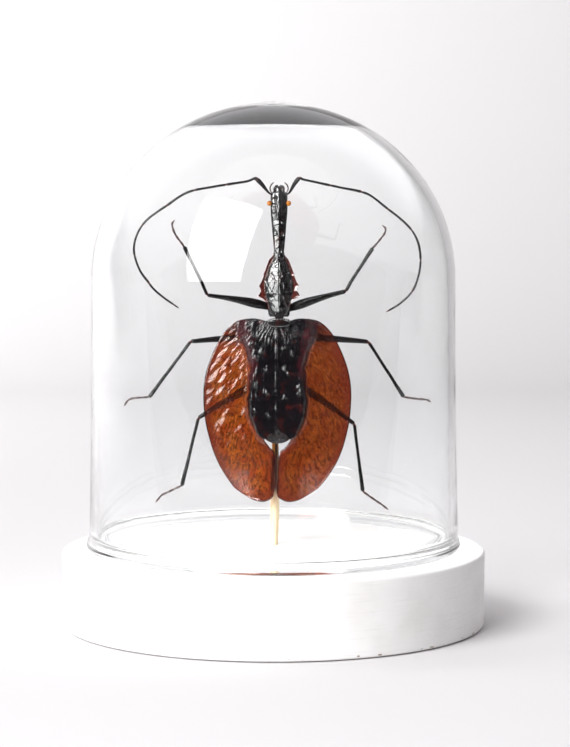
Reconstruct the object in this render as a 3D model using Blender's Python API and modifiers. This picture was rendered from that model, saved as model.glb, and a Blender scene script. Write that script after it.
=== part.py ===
"""Insect in a glass dome: a dried leaf-winged beetle on a bamboo stick, under a blown glass dome.

Lengths are metres. The origin is the centre of the base's underside, +Z is up and the beetle's
back faces -Y, so that its right side lies at +X. Heights in the beetle's tables are above the
surface that the base stands on.
"""

import math

import bpy
import numpy as np

MM = 0.001
OBJECT_NAME = "insect_in_glass_dome"
GAP = 0.3 * MM  # clearance between pieces that touch on the real object
MERGE = 0.01 * MM

# Round wooden base
BASE_RADIUS = 57.5 * MM
BASE_HEIGHT = 20.0 * MM
BASE_EDGE = 0.7 * MM  # round-over of both rims
BASE_STEPS = 64

# Blown glass dome, heights above the base's top
DOME_FOOT_RADIUS = 50.2 * MM
DOME_WAIST_RADIUS = 49.2 * MM  # where the wall meets the rounded top
DOME_WAIST_HEIGHT = 73.3 * MM
DOME_TOP_RISE = 47.8 * MM
DOME_WALL = 2.2 * MM
DOME_CROWN = 4.6 * MM  # the glass is thicker at the top
DOME_BEAD_HEIGHT = 3.4 * MM
DOME_BEAD_OUT = 0.7 * MM
DOME_SEAL_RADIUS = 4.3 * MM
DOME_SEAL_RISE = 0.5 * MM
DOME_STEPS = 40
DOME_ARC_POINTS = 12

# Bamboo stick, behind the beetle
STICK_X = 0.1 * MM
STICK_Y = 4.4 * MM
STICK_LEAN = 0.5 * MM  # how far its top stands to the right of its foot
STICK_BOTTOM = 10.0 * MM
STICK_HEIGHTS_AND_RADII = ((10.3, 0.80), (20.0, 0.95), (30.0, 1.22), (47.0, 0.88), (62.0, 0.45))

# Beetle: middle lines of its wing cases and of its head end, and the depth of each layer
WING_AXIS_X = 1.05 * MM
FRONT_AXIS_X = 1.5 * MM
SEAM_SHIFT = 0.55 * MM  # the lobes meet a little left of the middle line
LEAF_THICKNESS = 0.5 * MM
BELLY_Y = 1.75 * MM
BELLY_FLATNESS = 0.16

# Edges of a wing case as distance from the middle line and height, in millimetres
CASE_TOP = ((0.15, 82.2), (3.1, 82.5), (5.8, 83.1), (8.5, 83.05))
CASE_OUTER = (
    (8.5, 83.05), (11.4, 82.2), (14.2, 79.8), (16.4, 76.3), (19.35, 68.8), (20.2, 61.3),
    (19.3, 52.9), (16.75, 44.5), (12.4, 37.4), (9.5, 34.9),
)
CASE_BOTTOM = ((0.3, 35.3), (0.9, 33.8), (3.2, 32.7), (6.3, 33.15), (9.5, 34.9))
CASE_INNER = (
    (0.15, 82.2), (0.15, 68.0), (0.15, 54.2), (2.2, 51.4), (3.7, 49.8), (2.3, 47.0), (0.75, 45.0),
    (0.6, 40.0), (0.3, 35.3),
)
CASE_ROWS = 24
CASE_COLUMNS = 12

# Raised middle of a wing case: height, half width and rise, in millimetres
CASE_RIDGE = (
    (32.0, 4.0, 0.0), (49.0, 4.4, 0.3), (52.0, 6.2, 1.0), (56.0, 7.9, 1.7), (61.0, 8.3, 2.1),
    (66.0, 7.6, 2.2), (70.0, 7.5, 2.2), (74.0, 8.7, 2.3), (78.0, 10.2, 2.2), (83.0, 9.7, 1.5),
)
LEAF_CUP = 1.0 * MM  # how far the rim of a wing case curls towards the viewer

# Pronotum: height and half width of its toothed leaf, in millimetres, and its raised disc
PRONOTUM_EDGE = (
    (84.1, 2.9), (86.8, 3.1), (87.7, 3.6), (88.6, 4.6), (89.3, 5.7), (90.5, 4.9), (91.7, 5.4),
    (92.8, 4.8), (94.8, 4.2), (96.3, 3.6), (98.8, 2.8), (99.8, 1.8),
)
PRONOTUM_DISC = 3.9 * MM
PRONOTUM_RISE = 1.5 * MM
PRONOTUM_Y = -0.3 * MM
PRONOTUM_COLUMNS = 10

# Turned parts of the body: height and radius from bottom to top, in millimetres
HEAD_PROFILE = (
    (101.1, 0.0), (101.1, 1.25), (103.4, 1.6), (107.5, 1.95), (110.5, 2.15), (112.5, 2.25),
    (114.0, 1.65), (115.8, 1.6), (117.1, 1.1), (117.3, 0.0),
)
NECK_PROFILE = ((100.1, 0.0), (100.1, 1.35), (100.45, 1.62), (100.8, 1.35), (100.8, 0.0))
PROTHORAX_PROFILE = ((85.6, 0.0), (85.9, 2.0), (88.5, 3.4), (92.0, 3.6), (96.0, 2.7), (98.8, 0.0))
WAIST_PROFILE = ((83.0, 0.0), (83.0, 1.2), (83.6, 1.45), (85.0, 1.3), (85.2, 0.0))
COLLAR_PROFILE = ((80.9, 0.0), (81.2, 2.6), (82.2, 3.15), (83.0, 2.7), (83.3, 0.0))
BELLY_PROFILE = (
    (48.5, 0.0), (48.8, 1.8), (50.0, 3.6), (53.5, 5.6), (58.0, 7.0), (64.0, 7.0), (70.0, 6.6),
    (76.0, 7.4), (80.0, 6.4), (82.4, 3.0), (82.6, 0.0),
)
BODY_STEPS = 16
HEAD_FLATNESS = 0.75
EYE_RADIUS = 0.65 * MM
EYE_OFFSET = 2.6 * MM  # from the head's middle line
EYE_HEIGHT = 114.0 * MM
EYE_Y = -0.9 * MM

# Routes of thin parts as (x, y, z, radius), in millimetres
MANDIBLE = ((1.1, -0.4, 117.7, 0.45), (1.2, -0.5, 118.4, 0.35), (0.35, -0.5, 119.2, 0.12))
PALP = (
    (2.05, 0.6, 116.7, 0.16), (2.5, 0.5, 117.6, 0.16), (2.3, 0.3, 118.4, 0.18), (1.9, 0.2, 118.9, 0.10),
)
ANTENNA_LEFT = (
    (-1.35, -0.5, 116.9, 0.28), (-3.0, -0.9, 118.9, 0.55), (-4.4, -1.1, 120.3, 0.62), (-5.2, -1.2, 120.6, 0.35),
    (-7.6, -1.3, 119.8, 0.30), (-15.5, -1.6, 118.5, 0.28), (-23.2, -1.8, 116.9, 0.28),
    (-29.0, -2.0, 113.2, 0.27), (-34.3, -2.0, 109.3, 0.27), (-37.0, -1.9, 105.3, 0.27),
    (-37.7, -1.7, 101.0, 0.26), (-36.3, -1.4, 96.3, 0.26), (-33.4, -1.1, 92.2, 0.25),
    (-29.5, -0.8, 88.7, 0.24), (-25.6, -0.5, 85.9, 0.18),
)
ANTENNA_RIGHT = (
    (4.3, -0.5, 116.9, 0.28), (5.6, -0.9, 119.1, 0.55), (6.6, -1.1, 120.4, 0.62), (7.3, -1.2, 120.7, 0.35),
    (8.6, -1.3, 120.2, 0.30), (16.8, -1.6, 118.5, 0.28), (25.1, -1.8, 116.5, 0.28),
    (30.6, -2.0, 112.7, 0.27), (35.7, -2.0, 108.5, 0.27), (38.5, -1.9, 104.8, 0.27),
    (39.7, -1.7, 100.5, 0.26), (39.6, -1.4, 96.0, 0.26), (38.0, -1.1, 91.2, 0.25),
    (34.6, -0.8, 87.4, 0.24), (30.5, -0.5, 84.8, 0.18),
)

# Each leg: root, knee, end of shin, ankle, last toe joint, claw tip, as (x, y, z) in millimetres
LEGS = {
    "left_fore": ((-3.6, 3.4, 86.6), (-18.0, 2.4, 89.4), (-24.2, 1.4, 102.2), (-26.7, 1.7, 105.6),
                  (-27.5, 2.1, 108.2), (-26.9, 2.5, 109.4)),
    "right_fore": ((6.6, 3.4, 86.4), (19.7, 2.4, 90.4), (26.9, 1.4, 101.8), (30.0, 1.7, 105.6),
                   (30.4, 2.1, 107.2), (29.7, 2.5, 107.9)),
    "left_mid": ((-3.5, 4.1, 77.6), (-22.6, 3.0, 76.6), (-33.9, 1.6, 61.4), (-37.7, 1.8, 61.1),
                 (-39.7, 2.2, 60.5), (-41.0, 2.8, 58.8)),
    "right_mid": ((5.6, 4.1, 77.6), (25.9, 3.0, 76.5), (35.6, 1.6, 61.4), (39.0, 1.8, 60.9),
                  (42.0, 2.2, 60.5), (43.3, 2.8, 59.8)),
    "left_hind": ((-2.6, 4.1, 66.0), (-20.6, 3.2, 55.4), (-25.1, 2.2, 36.8), (-28.8, 2.4, 35.0),
                  (-30.8, 2.6, 34.0), (-32.4, 3.0, 31.9)),
    "right_hind": ((4.7, 4.1, 66.0), (22.1, 3.2, 53.8), (24.5, 2.2, 35.2), (27.4, 2.4, 33.0),
                   (30.0, 2.6, 31.2), (31.5, 3.0, 29.9)),
}
FEMUR_RADII = (0.55, 1.0, 0.80, 0.62, 0.50)
FEMUR_RADII_FORE = (0.70, 1.05, 0.90, 0.65, 0.50)
TIBIA_RADII = (0.42, 0.36, 0.36, 0.42, 0.50)
TARSUS_RADII = (0.22, 0.32, 0.24, 0.32, 0.24, 0.32, 0.22, 0.30, 0.12)

GLASS = ("clear_glass", "F2F4F5", 0.02, 1.0)
PAINT = ("white_paint", "F1F0EE", 0.72, 0.0)
BAMBOO = ("bamboo", "E3CCA2", 0.60, 0.0)
BLACK = ("black_shell", "1B1819", 0.22, 0.0)
AMBER = ("amber_wing_case", "A6501F", 0.28, 0.0)
RED_BROWN = ("red_brown_joint", "5E1C12", 0.35, 0.0)
EYE = ("amber_eye", "9A7434", 0.18, 0.0)


def clear_scene():
    """Removes every object that the scene holds."""
    for old in list(bpy.data.objects):
        bpy.data.objects.remove(old, do_unlink=True)


def collection(name):
    """Adds an empty collection to the scene."""
    group = bpy.data.collections.new(name)
    bpy.context.scene.collection.children.link(group)
    return group


def linear(hex_colour):
    """Turns a display colour such as A6501F into the linear values that a shader takes."""
    shares = (int(hex_colour[i : i + 2], 16) / 255 for i in (0, 2, 4))
    return tuple(c / 12.92 if c <= 0.04045 else ((c + 0.055) / 1.055) ** 2.4 for c in shares) + (1.0,)


def material(finish):
    """Makes a Principled material from a (name, colour, roughness, transmission) finish, once."""
    name, colour, roughness, transmission = finish
    if name in bpy.data.materials:
        return bpy.data.materials[name]
    made = bpy.data.materials.new(name)
    made.use_nodes = True
    shader = made.node_tree.nodes["Principled BSDF"]
    shader.inputs["Base Color"].default_value = linear(colour)
    shader.inputs["Roughness"].default_value = roughness
    shader.inputs["Metallic"].default_value = 0.0
    shader.inputs["Transmission Weight"].default_value = transmission
    made.diffuse_color = linear(colour)
    return made


def add_object(name, data, finish, group):
    """Makes an object of its data, gives it its finish and puts it in its collection."""
    made = bpy.data.objects.new(name, data)
    data.materials.append(material(finish))
    group.objects.link(made)
    return made


def turned(name, profile, steps, finish, group):
    """Turns a profile of (radius, height) points around Z. It runs down the outer side first."""
    mesh = bpy.data.meshes.new(name)
    points = [(radius, 0.0, height) for radius, height in profile]
    mesh.from_pydata(points, [(i, i + 1) for i in range(len(points) - 1)], [])
    made = add_object(name, mesh, finish, group)
    screw = made.modifiers.new("turning", "SCREW")
    screw.axis = "Z"
    screw.angle = math.tau
    screw.steps = steps
    screw.render_steps = steps
    screw.use_merge_vertices = True
    screw.merge_threshold = MERGE
    screw.use_smooth_shade = True
    return made


def turned_body(name, profile_mm, x, y, flatness, finish, group):
    """Turns a body segment whose profile lists heights and radii upward, and flattens its depth."""
    profile = [(radius * MM, height * MM) for height, radius in reversed(profile_mm)]
    made = turned(name, profile, BODY_STEPS, finish, group)
    made.location = (x, y, 0.0)
    made.scale = (1.0, flatness, 1.0)
    return made


def tube(name, route_mm, finish, group, sides=1):
    """Makes a round tube through (x, y, z, radius) points, closed at both ends."""
    curve = bpy.data.curves.new(name, "CURVE")
    curve.dimensions = "3D"
    curve.bevel_depth = MM
    curve.bevel_resolution = sides
    curve.use_fill_caps = True
    spline = curve.splines.new("POLY")
    spline.points.add(len(route_mm) - 1)
    for point, (x, y, z, radius) in zip(spline.points, route_mm):
        point.co = (x * MM, y * MM, z * MM, 1.0)
        point.radius = radius
    spline.use_smooth = True
    return add_object(name, curve, finish, group)


def sheet(name, grid, thickness, finish, group):
    """Makes a leaf of even thickness from a grid of points, rows by columns, facing the viewer."""
    rows, columns = grid.shape[:2]
    index = np.arange(rows * columns).reshape(rows, columns)
    corners = np.stack([index[:-1, :-1], index[1:, :-1], index[1:, 1:], index[:-1, 1:]], axis=-1)
    mesh = bpy.data.meshes.new(name)
    mesh.from_pydata(grid.reshape(-1, 3).tolist(), [], corners.reshape(-1, 4).tolist())
    mesh.shade_smooth()
    made = add_object(name, mesh, finish, group)
    solid = made.modifiers.new("leaf_thickness", "SOLIDIFY")
    solid.thickness = thickness
    solid.offset = -1.0
    solid.use_even_offset = False
    return made


def drill(target, radius, x, y, bottom, top, cutters):
    """Cuts a round blind hole from above."""
    bpy.ops.mesh.primitive_cylinder_add(
        vertices=24, radius=radius, depth=top - bottom, location=(x, y, (top + bottom) / 2)
    )
    cutter = bpy.context.object
    cutter.name = target.name + "_hole_cutter"
    for old in list(cutter.users_collection):
        old.objects.unlink(cutter)
    cutters.objects.link(cutter)
    cutter.hide_render = True
    cutter.display_type = "WIRE"
    cut = target.modifiers.new("stick_hole", "BOOLEAN")
    cut.operation = "DIFFERENCE"
    cut.solver = "EXACT"
    cut.object = cutter


def smooth_route(points, count):
    """Returns count points on a smooth curve through the given ones, evenly spaced along it."""
    knots = np.asarray(points, dtype=float)
    before = 2 * knots[0] - knots[1]
    after = 2 * knots[-1] - knots[-2]
    padded = np.vstack([before, knots, after])
    share = np.linspace(0, 1, 24, endpoint=False)[:, None]
    pieces = []
    for a, b, c, d in zip(padded, padded[1:], padded[2:], padded[3:]):
        bend = 2 * a - 5 * b + 4 * c - d
        twist = 3 * (b - c) + d - a
        pieces.append(0.5 * (2 * b + (c - a) * share + bend * share**2 + twist * share**3))
    dense = np.vstack(pieces + [knots[-1:]])
    lengths = np.concatenate([[0], np.cumsum(np.linalg.norm(np.diff(dense, axis=0), axis=1))])
    wanted = np.linspace(0, lengths[-1], count)
    return np.stack([np.interp(wanted, lengths, dense[:, k]) for k in range(dense.shape[1])], axis=1)


def patch_between(top, bottom, inner, outer):
    """Fills the area between four edge curves with a grid of points, as a Coons patch."""
    down = np.linspace(0, 1, len(inner))[:, None, None]
    across = np.linspace(0, 1, len(top))[None, :, None]
    along = (1 - down) * top[None] + down * bottom[None]
    side = (1 - across) * inner[:, None] + across * outer[:, None]
    corners = (
        (1 - down) * (1 - across) * top[0]
        + (1 - down) * across * top[-1]
        + down * (1 - across) * bottom[0]
        + down * across * bottom[-1]
    )
    return along + side - corners


def wing_case_grid(side):
    """Returns the outer face of the wing case at side -1 (left) or 1 (right) as a grid of points."""
    flat = patch_between(
        smooth_route(CASE_TOP, CASE_COLUMNS),
        smooth_route(CASE_BOTTOM, CASE_COLUMNS),
        smooth_route(CASE_INNER, CASE_ROWS),
        smooth_route(CASE_OUTER, CASE_ROWS),
    )
    out, height = flat[..., 0], flat[..., 1]
    table = np.array(CASE_RIDGE)
    half_width = np.interp(height, table[:, 0], table[:, 1])
    rise = np.interp(height, table[:, 0], table[:, 2])
    dome = rise * np.sqrt(np.clip(1 - (out / half_width) ** 2, 0, 1))
    rim = np.clip((out - half_width) / (20.0 - half_width), 0, 1) ** 2 * LEAF_CUP / MM
    low = np.clip((50.0 - height) / 15.0, 0, 1)
    shift = SEAM_SHIFT / MM * low * (3 - 2 * low) * low * np.clip(1 - out / 18.0, 0, 1)
    x = WING_AXIS_X / MM + side * out - shift
    grid = np.stack([x, -dome - rim, height], axis=-1) * MM
    return grid if side > 0 else grid[:, ::-1]


def pronotum_grid():
    """Returns the outer face of the pronotum: a raised oval disc inside a flat toothed leaf."""
    edge = np.array(PRONOTUM_EDGE)[::-1] * MM
    across = np.linspace(-1, 1, PRONOTUM_COLUMNS)
    x = edge[:, 1:2] * across
    inside = 1 - (x / PRONOTUM_DISC) ** 2 - ((edge[:, 0:1] - 0.0918) / 0.0088) ** 2
    y = PRONOTUM_Y - PRONOTUM_RISE * np.sqrt(np.clip(inside, 0, 1))
    z = np.broadcast_to(edge[:, 0:1], x.shape)
    return np.stack([FRONT_AXIS_X + x, y, z], axis=-1)


def add_base(group, cutters):
    """Round wooden base with rounded rims and the hole that holds the stick."""
    turn = [math.radians(angle) for angle in (90, 45, 0)]
    upper = [
        (BASE_RADIUS - BASE_EDGE + BASE_EDGE * math.cos(a), BASE_HEIGHT - BASE_EDGE + BASE_EDGE * math.sin(a))
        for a in turn
    ]
    lower = [(radius, BASE_HEIGHT - height) for radius, height in reversed(upper)]
    profile = [(0.0, BASE_HEIGHT)] + upper + lower + [(0.0, 0.0)]
    base = turned("wooden_base", profile, BASE_STEPS, PAINT, group)
    drill(base, STICK_HEIGHTS_AND_RADII[1][1] * MM + GAP, STICK_X, STICK_Y,
          STICK_BOTTOM, BASE_HEIGHT + 1 * MM, cutters)


def dome_profile():
    """Returns the dome's section: down the outer face, around the foot bead and up inside."""
    arc = np.linspace(math.pi / 2, 0, DOME_ARC_POINTS)
    outer = [(DOME_WAIST_RADIUS * math.cos(a), DOME_WAIST_HEIGHT + DOME_TOP_RISE * math.sin(a)) for a in arc]
    outer = [(0.0, outer[0][1] + DOME_SEAL_RISE), (DOME_SEAL_RADIUS, outer[0][1] - 0.1 * MM)] + outer[1:]
    inner_rise = DOME_TOP_RISE - DOME_CROWN
    inner_radius = DOME_WAIST_RADIUS - DOME_WALL
    inner = [(inner_radius * math.cos(a), DOME_WAIST_HEIGHT + inner_rise * math.sin(a)) for a in arc[::-1]]
    inner[-1] = (0.0, inner[-1][1])
    middle = DOME_FOOT_RADIUS - DOME_WALL / 2
    half = DOME_WALL / 2 + DOME_BEAD_OUT
    centre = GAP + DOME_BEAD_HEIGHT / 2
    turn = [math.radians(angle) for angle in (45, 0, -45, -90, -135, -180, -225)]
    bead = [(middle + half * math.cos(a), centre + DOME_BEAD_HEIGHT / 2 * math.sin(a)) for a in turn]
    lowest = [(radius, height + BASE_HEIGHT) for radius, height in outer + bead + inner]
    return lowest


def add_dome(group):
    """Blown glass dome: open below, with a bead around its foot and a seal mark on top."""
    turned("glass_dome", dome_profile(), DOME_STEPS, GLASS, group)


def add_stick(group):
    """Bamboo stick, pointed at both ends, from the base up to the beetle's belly."""
    low, high = STICK_HEIGHTS_AND_RADII[0][0], STICK_HEIGHTS_AND_RADII[-1][0]
    route = [
        (STICK_X / MM + STICK_LEAN / MM * (height - low) / (high - low), STICK_Y / MM, height, radius)
        for height, radius in STICK_HEIGHTS_AND_RADII
    ]
    tube("bamboo_stick", route, BAMBOO, group, sides=2)


def add_wing_cases(group):
    """Both wing cases, each one leaf with the raised dark middle and the wide flat flange."""
    for label, side in (("left", -1), ("right", 1)):
        sheet(label + "_wing_case", wing_case_grid(side), LEAF_THICKNESS, AMBER, group)


def add_trunk(group):
    """Neck, pronotum, underside of the prothorax, waist, collar, belly and head."""
    turned_body("head", HEAD_PROFILE, FRONT_AXIS_X, -0.3 * MM, HEAD_FLATNESS, BLACK, group)
    turned_body("neck_ring", NECK_PROFILE, FRONT_AXIS_X, -0.2 * MM, HEAD_FLATNESS, RED_BROWN, group)
    sheet("pronotum", pronotum_grid(), LEAF_THICKNESS, BLACK, group)
    turned_body("prothorax", PROTHORAX_PROFILE, FRONT_AXIS_X, 1.7 * MM, 0.32, BLACK, group)
    turned_body("waist", WAIST_PROFILE, FRONT_AXIS_X, 1.9 * MM, 0.8, RED_BROWN, group)
    turned_body("collar", COLLAR_PROFILE, FRONT_AXIS_X, -2.6 * MM, 0.15, BLACK, group)
    turned_body("abdomen", BELLY_PROFILE, WING_AXIS_X, BELLY_Y, BELLY_FLATNESS, BLACK, group)


def add_eyes(group):
    """Two round eyes, clear of the head's sides."""
    for label, side in (("left", -1), ("right", 1)):
        bpy.ops.mesh.primitive_uv_sphere_add(
            segments=10, ring_count=6, radius=EYE_RADIUS,
            location=(FRONT_AXIS_X + side * EYE_OFFSET, EYE_Y, EYE_HEIGHT),
        )
        eye = bpy.context.object
        eye.name = label + "_eye"
        eye.data.name = eye.name
        eye.data.materials.append(material(EYE))
        eye.data.shade_smooth()
        for old in list(eye.users_collection):
            old.objects.unlink(eye)
        group.objects.link(eye)


def add_mouthparts(group):
    """Mandibles and palps, mirrored about the head's middle line."""
    for label, side in (("left", -1), ("right", 1)):
        centre = FRONT_AXIS_X / MM
        jaw = [(centre + side * x, y, z, radius) for x, y, z, radius in MANDIBLE]
        palp = [(centre + side * (x + 0.1), y, z, radius) for x, y, z, radius in PALP]
        tube(label + "_mandible", jaw, BLACK, group)
        tube(label + "_palp", palp, RED_BROWN, group, sides=0)


def add_antennae(group):
    """Both antennae, each a thick first joint and a long thin curve."""
    tube("left_antenna", ANTENNA_LEFT, BLACK, group)
    tube("right_antenna", ANTENNA_RIGHT, BLACK, group)


def limb_route(start, end, radii, sag):
    """Returns a gently bowed route from start to end with one point for each radius."""
    share = np.linspace(0, 1, len(radii))
    line = np.outer(1 - share, start) + np.outer(share, end)
    line[:, 2] += sag * 4 * share * (1 - share)
    return [(*point, radius) for point, radius in zip(line, radii)]


def shorten(start, end, by_start, by_end):
    """Moves both ends of a line inward, which leaves the gaps at a leg's joints."""
    a, b = np.array(start), np.array(end)
    way = (b - a) / np.linalg.norm(b - a)
    return a + way * by_start, b - way * by_end


def toe_route(ankle_points):
    """Returns a beaded route through the joints of a foot, ending in its claw."""
    line = smooth_route(ankle_points, len(TARSUS_RADII))
    return [(*point, radius) for point, radius in zip(line, TARSUS_RADII)]


def add_legs(group):
    """Six legs, each with a thigh, a shin and a foot of small beads that ends in a claw."""
    for name, (root, knee, shin_end, ankle, toe, claw) in LEGS.items():
        thigh_radii = FEMUR_RADII_FORE if "fore" in name else FEMUR_RADII
        a, b = shorten(root, knee, 0.0, 0.25)
        tube(name + "_femur", limb_route(a, b, thigh_radii, 0.3), BLACK, group)
        a, b = shorten(knee, shin_end, 0.65, 0.1)
        tube(name + "_tibia", limb_route(a, b, TIBIA_RADII, 0.0), BLACK, group)
        first, last = shorten(shin_end, ankle, 0.75, 0.0)
        tube(name + "_tarsus", toe_route([first, last, toe, claw]), RED_BROWN, group)


def main():
    """Builds the whole object."""
    clear_scene()
    group = collection(OBJECT_NAME)
    cutters = collection("cutters")
    add_base(group, cutters)
    add_dome(group)
    add_stick(group)
    add_wing_cases(group)
    add_trunk(group)
    add_eyes(group)
    add_mouthparts(group)
    add_antennae(group)
    add_legs(group)


main()
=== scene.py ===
"""Insect in a glass dome, dressed: a dried leaf-winged ground beetle on a bamboo stick in a white
painted wooden base, under a dome of blown clear glass.

Tables are in millimetres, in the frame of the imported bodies: the origin is the middle of the base's
underside, +Z is up and the beetle's back faces -Y. Every piece is a closed surface that is worked
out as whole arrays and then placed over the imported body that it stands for.
"""

from __future__ import annotations

import logging
import math
from dataclasses import dataclass, field
from enum import Enum

import bpy
import numpy as np
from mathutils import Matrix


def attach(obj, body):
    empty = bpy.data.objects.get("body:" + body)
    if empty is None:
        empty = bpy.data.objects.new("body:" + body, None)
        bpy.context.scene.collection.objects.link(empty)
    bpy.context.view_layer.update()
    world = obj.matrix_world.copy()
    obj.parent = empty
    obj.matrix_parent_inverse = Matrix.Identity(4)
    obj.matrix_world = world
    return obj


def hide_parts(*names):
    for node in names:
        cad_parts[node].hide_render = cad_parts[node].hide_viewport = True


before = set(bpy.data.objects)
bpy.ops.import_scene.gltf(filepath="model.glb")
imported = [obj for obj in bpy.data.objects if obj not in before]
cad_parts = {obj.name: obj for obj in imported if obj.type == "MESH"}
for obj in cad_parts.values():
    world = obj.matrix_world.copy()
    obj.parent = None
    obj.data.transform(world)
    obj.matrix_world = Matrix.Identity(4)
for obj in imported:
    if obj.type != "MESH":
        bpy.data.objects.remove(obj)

LOG = logging.getLogger("insect_dome")
MM = 0.001
BODY = "root"
TAU = math.tau
WAX_IOR = 1.65
WAX_ROUGHNESS = 0.05


class Side(Enum):
    """The two sides of the beetle, as the direction of X that each lies in."""

    LEFT = -1
    RIGHT = 1

    @property
    def label(self) -> str:
        """The side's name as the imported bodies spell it."""
        return self.name.lower()


class Slot(Enum):
    """The record's material slots."""

    WOOD = "painted_wood"
    GLASS = "clear_glass"
    BAMBOO = "bamboo"
    AMBER = "amber_shell"
    BLACK = "black_shell"
    RED_BROWN = "red_brown_shell"
    EYE = "amber_eye"


# Number helpers


def linear(hex_colour: str) -> tuple[float, float, float, float]:
    """Turns an sRGB hex colour into the linear values that a shader takes.

    Args:
        hex_colour: Six hex digits, such as A6501F.

    Returns:
        Linear red, green and blue, and an alpha of 1.
    """
    shares = (int(hex_colour[i : i + 2], 16) / 255 for i in (0, 2, 4))
    return tuple(c / 12.92 if c <= 0.04045 else ((c + 0.055) / 1.055) ** 2.4 for c in shares) + (1.0,)


def ease(low: float, high: float, values: np.ndarray) -> np.ndarray:
    """Rises smoothly from 0 at low to 1 at high: share squared times (3 - 2 share).

    Args:
        low: Where the rise starts. It may be above high, which gives a fall.
        high: Where the rise ends.
        values: Any array.

    Returns:
        The eased shares, in the shape of values.
    """
    share = np.clip((values - low) / (high - low), 0.0, 1.0)
    return share * share * (3.0 - 2.0 * share)


def grain(u: np.ndarray, v: np.ndarray, seed: int, period: int = 256) -> np.ndarray:
    """Smooth seeded noise: random heights at whole numbers of u and v, eased in between.

    Args:
        u: First coordinate, in units of the noise's own spacing.
        v: Second coordinate, in the same units.
        seed: Which random heights to take.
        period: After how many units of u the noise repeats, for closed rings.

    Returns:
        Heights between -1 and 1, in the shape of u and v together.
    """
    heights = np.random.default_rng(seed).uniform(-1.0, 1.0, (256, 256))
    column, row = np.floor(u).astype(int), np.floor(v).astype(int)
    across, along = u - column, v - row
    across, along = across**2 * (3 - 2 * across), along**2 * (3 - 2 * along)
    left, right = column % period, (column + 1) % period
    low, high = row % 256, (row + 1) % 256
    bottom = heights[left, low] * (1 - across) + heights[right, low] * across
    top = heights[left, high] * (1 - across) + heights[right, high] * across
    return bottom * (1 - along) + top * along


def smooth_route(points: object, count: int) -> np.ndarray:
    """Carries a Catmull-Rom curve through the points and takes evenly spaced points of it.

    Args:
        points: Rows of coordinates, of any number of columns.
        count: How many points to return.

    Returns:
        count rows, from the first given point to the last.
    """
    knots = np.asarray(points, dtype=float)
    padded = np.vstack([2 * knots[0] - knots[1], knots, 2 * knots[-1] - knots[-2]])
    share = np.linspace(0, 1, 24, endpoint=False)[None, :, None]
    a, b, c, d = (padded[k : len(padded) - 3 + k, None, :] for k in range(4))
    bend, twist = 2 * a - 5 * b + 4 * c - d, 3 * (b - c) + d - a
    dense = 0.5 * (2 * b + (c - a) * share + bend * share**2 + twist * share**3)
    dense = np.vstack([dense.reshape(-1, knots.shape[1]), knots[-1:]])
    steps = np.linalg.norm(np.diff(dense[:, :3], axis=0), axis=1)
    lengths = np.concatenate([[0], np.cumsum(steps)])
    wanted = np.linspace(0, lengths[-1], count)
    return np.stack([np.interp(wanted, lengths, column) for column in dense.T], axis=1)


def patch_between(top: np.ndarray, bottom: np.ndarray, inner: np.ndarray, outer: np.ndarray) -> np.ndarray:
    """Fills the area between four edge curves as a Coons patch.

    The patch is the blend of top and bottom, plus the blend of inner and outer, minus the blend of
    the four corners.

    Args:
        top: Points of the upper edge, from its inner to its outer end.
        bottom: Points of the lower edge, as many as in top.
        inner: Points of the inner edge, from top to bottom.
        outer: Points of the outer edge, as many as in inner.

    Returns:
        A grid of points, a row for each point of inner and a column for each point of top.
    """
    down = np.linspace(0, 1, len(inner))[:, None, None]
    across = np.linspace(0, 1, len(top))[None, :, None]
    along = (1 - down) * top[None] + down * bottom[None]
    side = (1 - across) * inner[:, None] + across * outer[:, None]
    upper = (1 - across) * top[0] + across * top[-1]
    lower = (1 - across) * bottom[0] + across * bottom[-1]
    return along + side - ((1 - down) * upper + down * lower)


def spots(x: np.ndarray, z: np.ndarray, places: tuple, width: float, height: float) -> np.ndarray:
    """Small round mounds: height times e to the minus squared distance over squared width, summed.

    Args:
        x: Distances across.
        z: Heights, in the shape of x.
        places: (x, z) of each mound.
        width: The radius of a mound.
        height: The rise of a mound.

    Returns:
        The summed rise, in the shape of x.
    """
    middles = np.asarray(places, dtype=float)
    off = (x[..., None] - middles[:, 0]) ** 2 + (z[..., None] - middles[:, 1]) ** 2
    return height * np.exp(-off / width**2).sum(axis=-1)


# Surfaces


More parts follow.
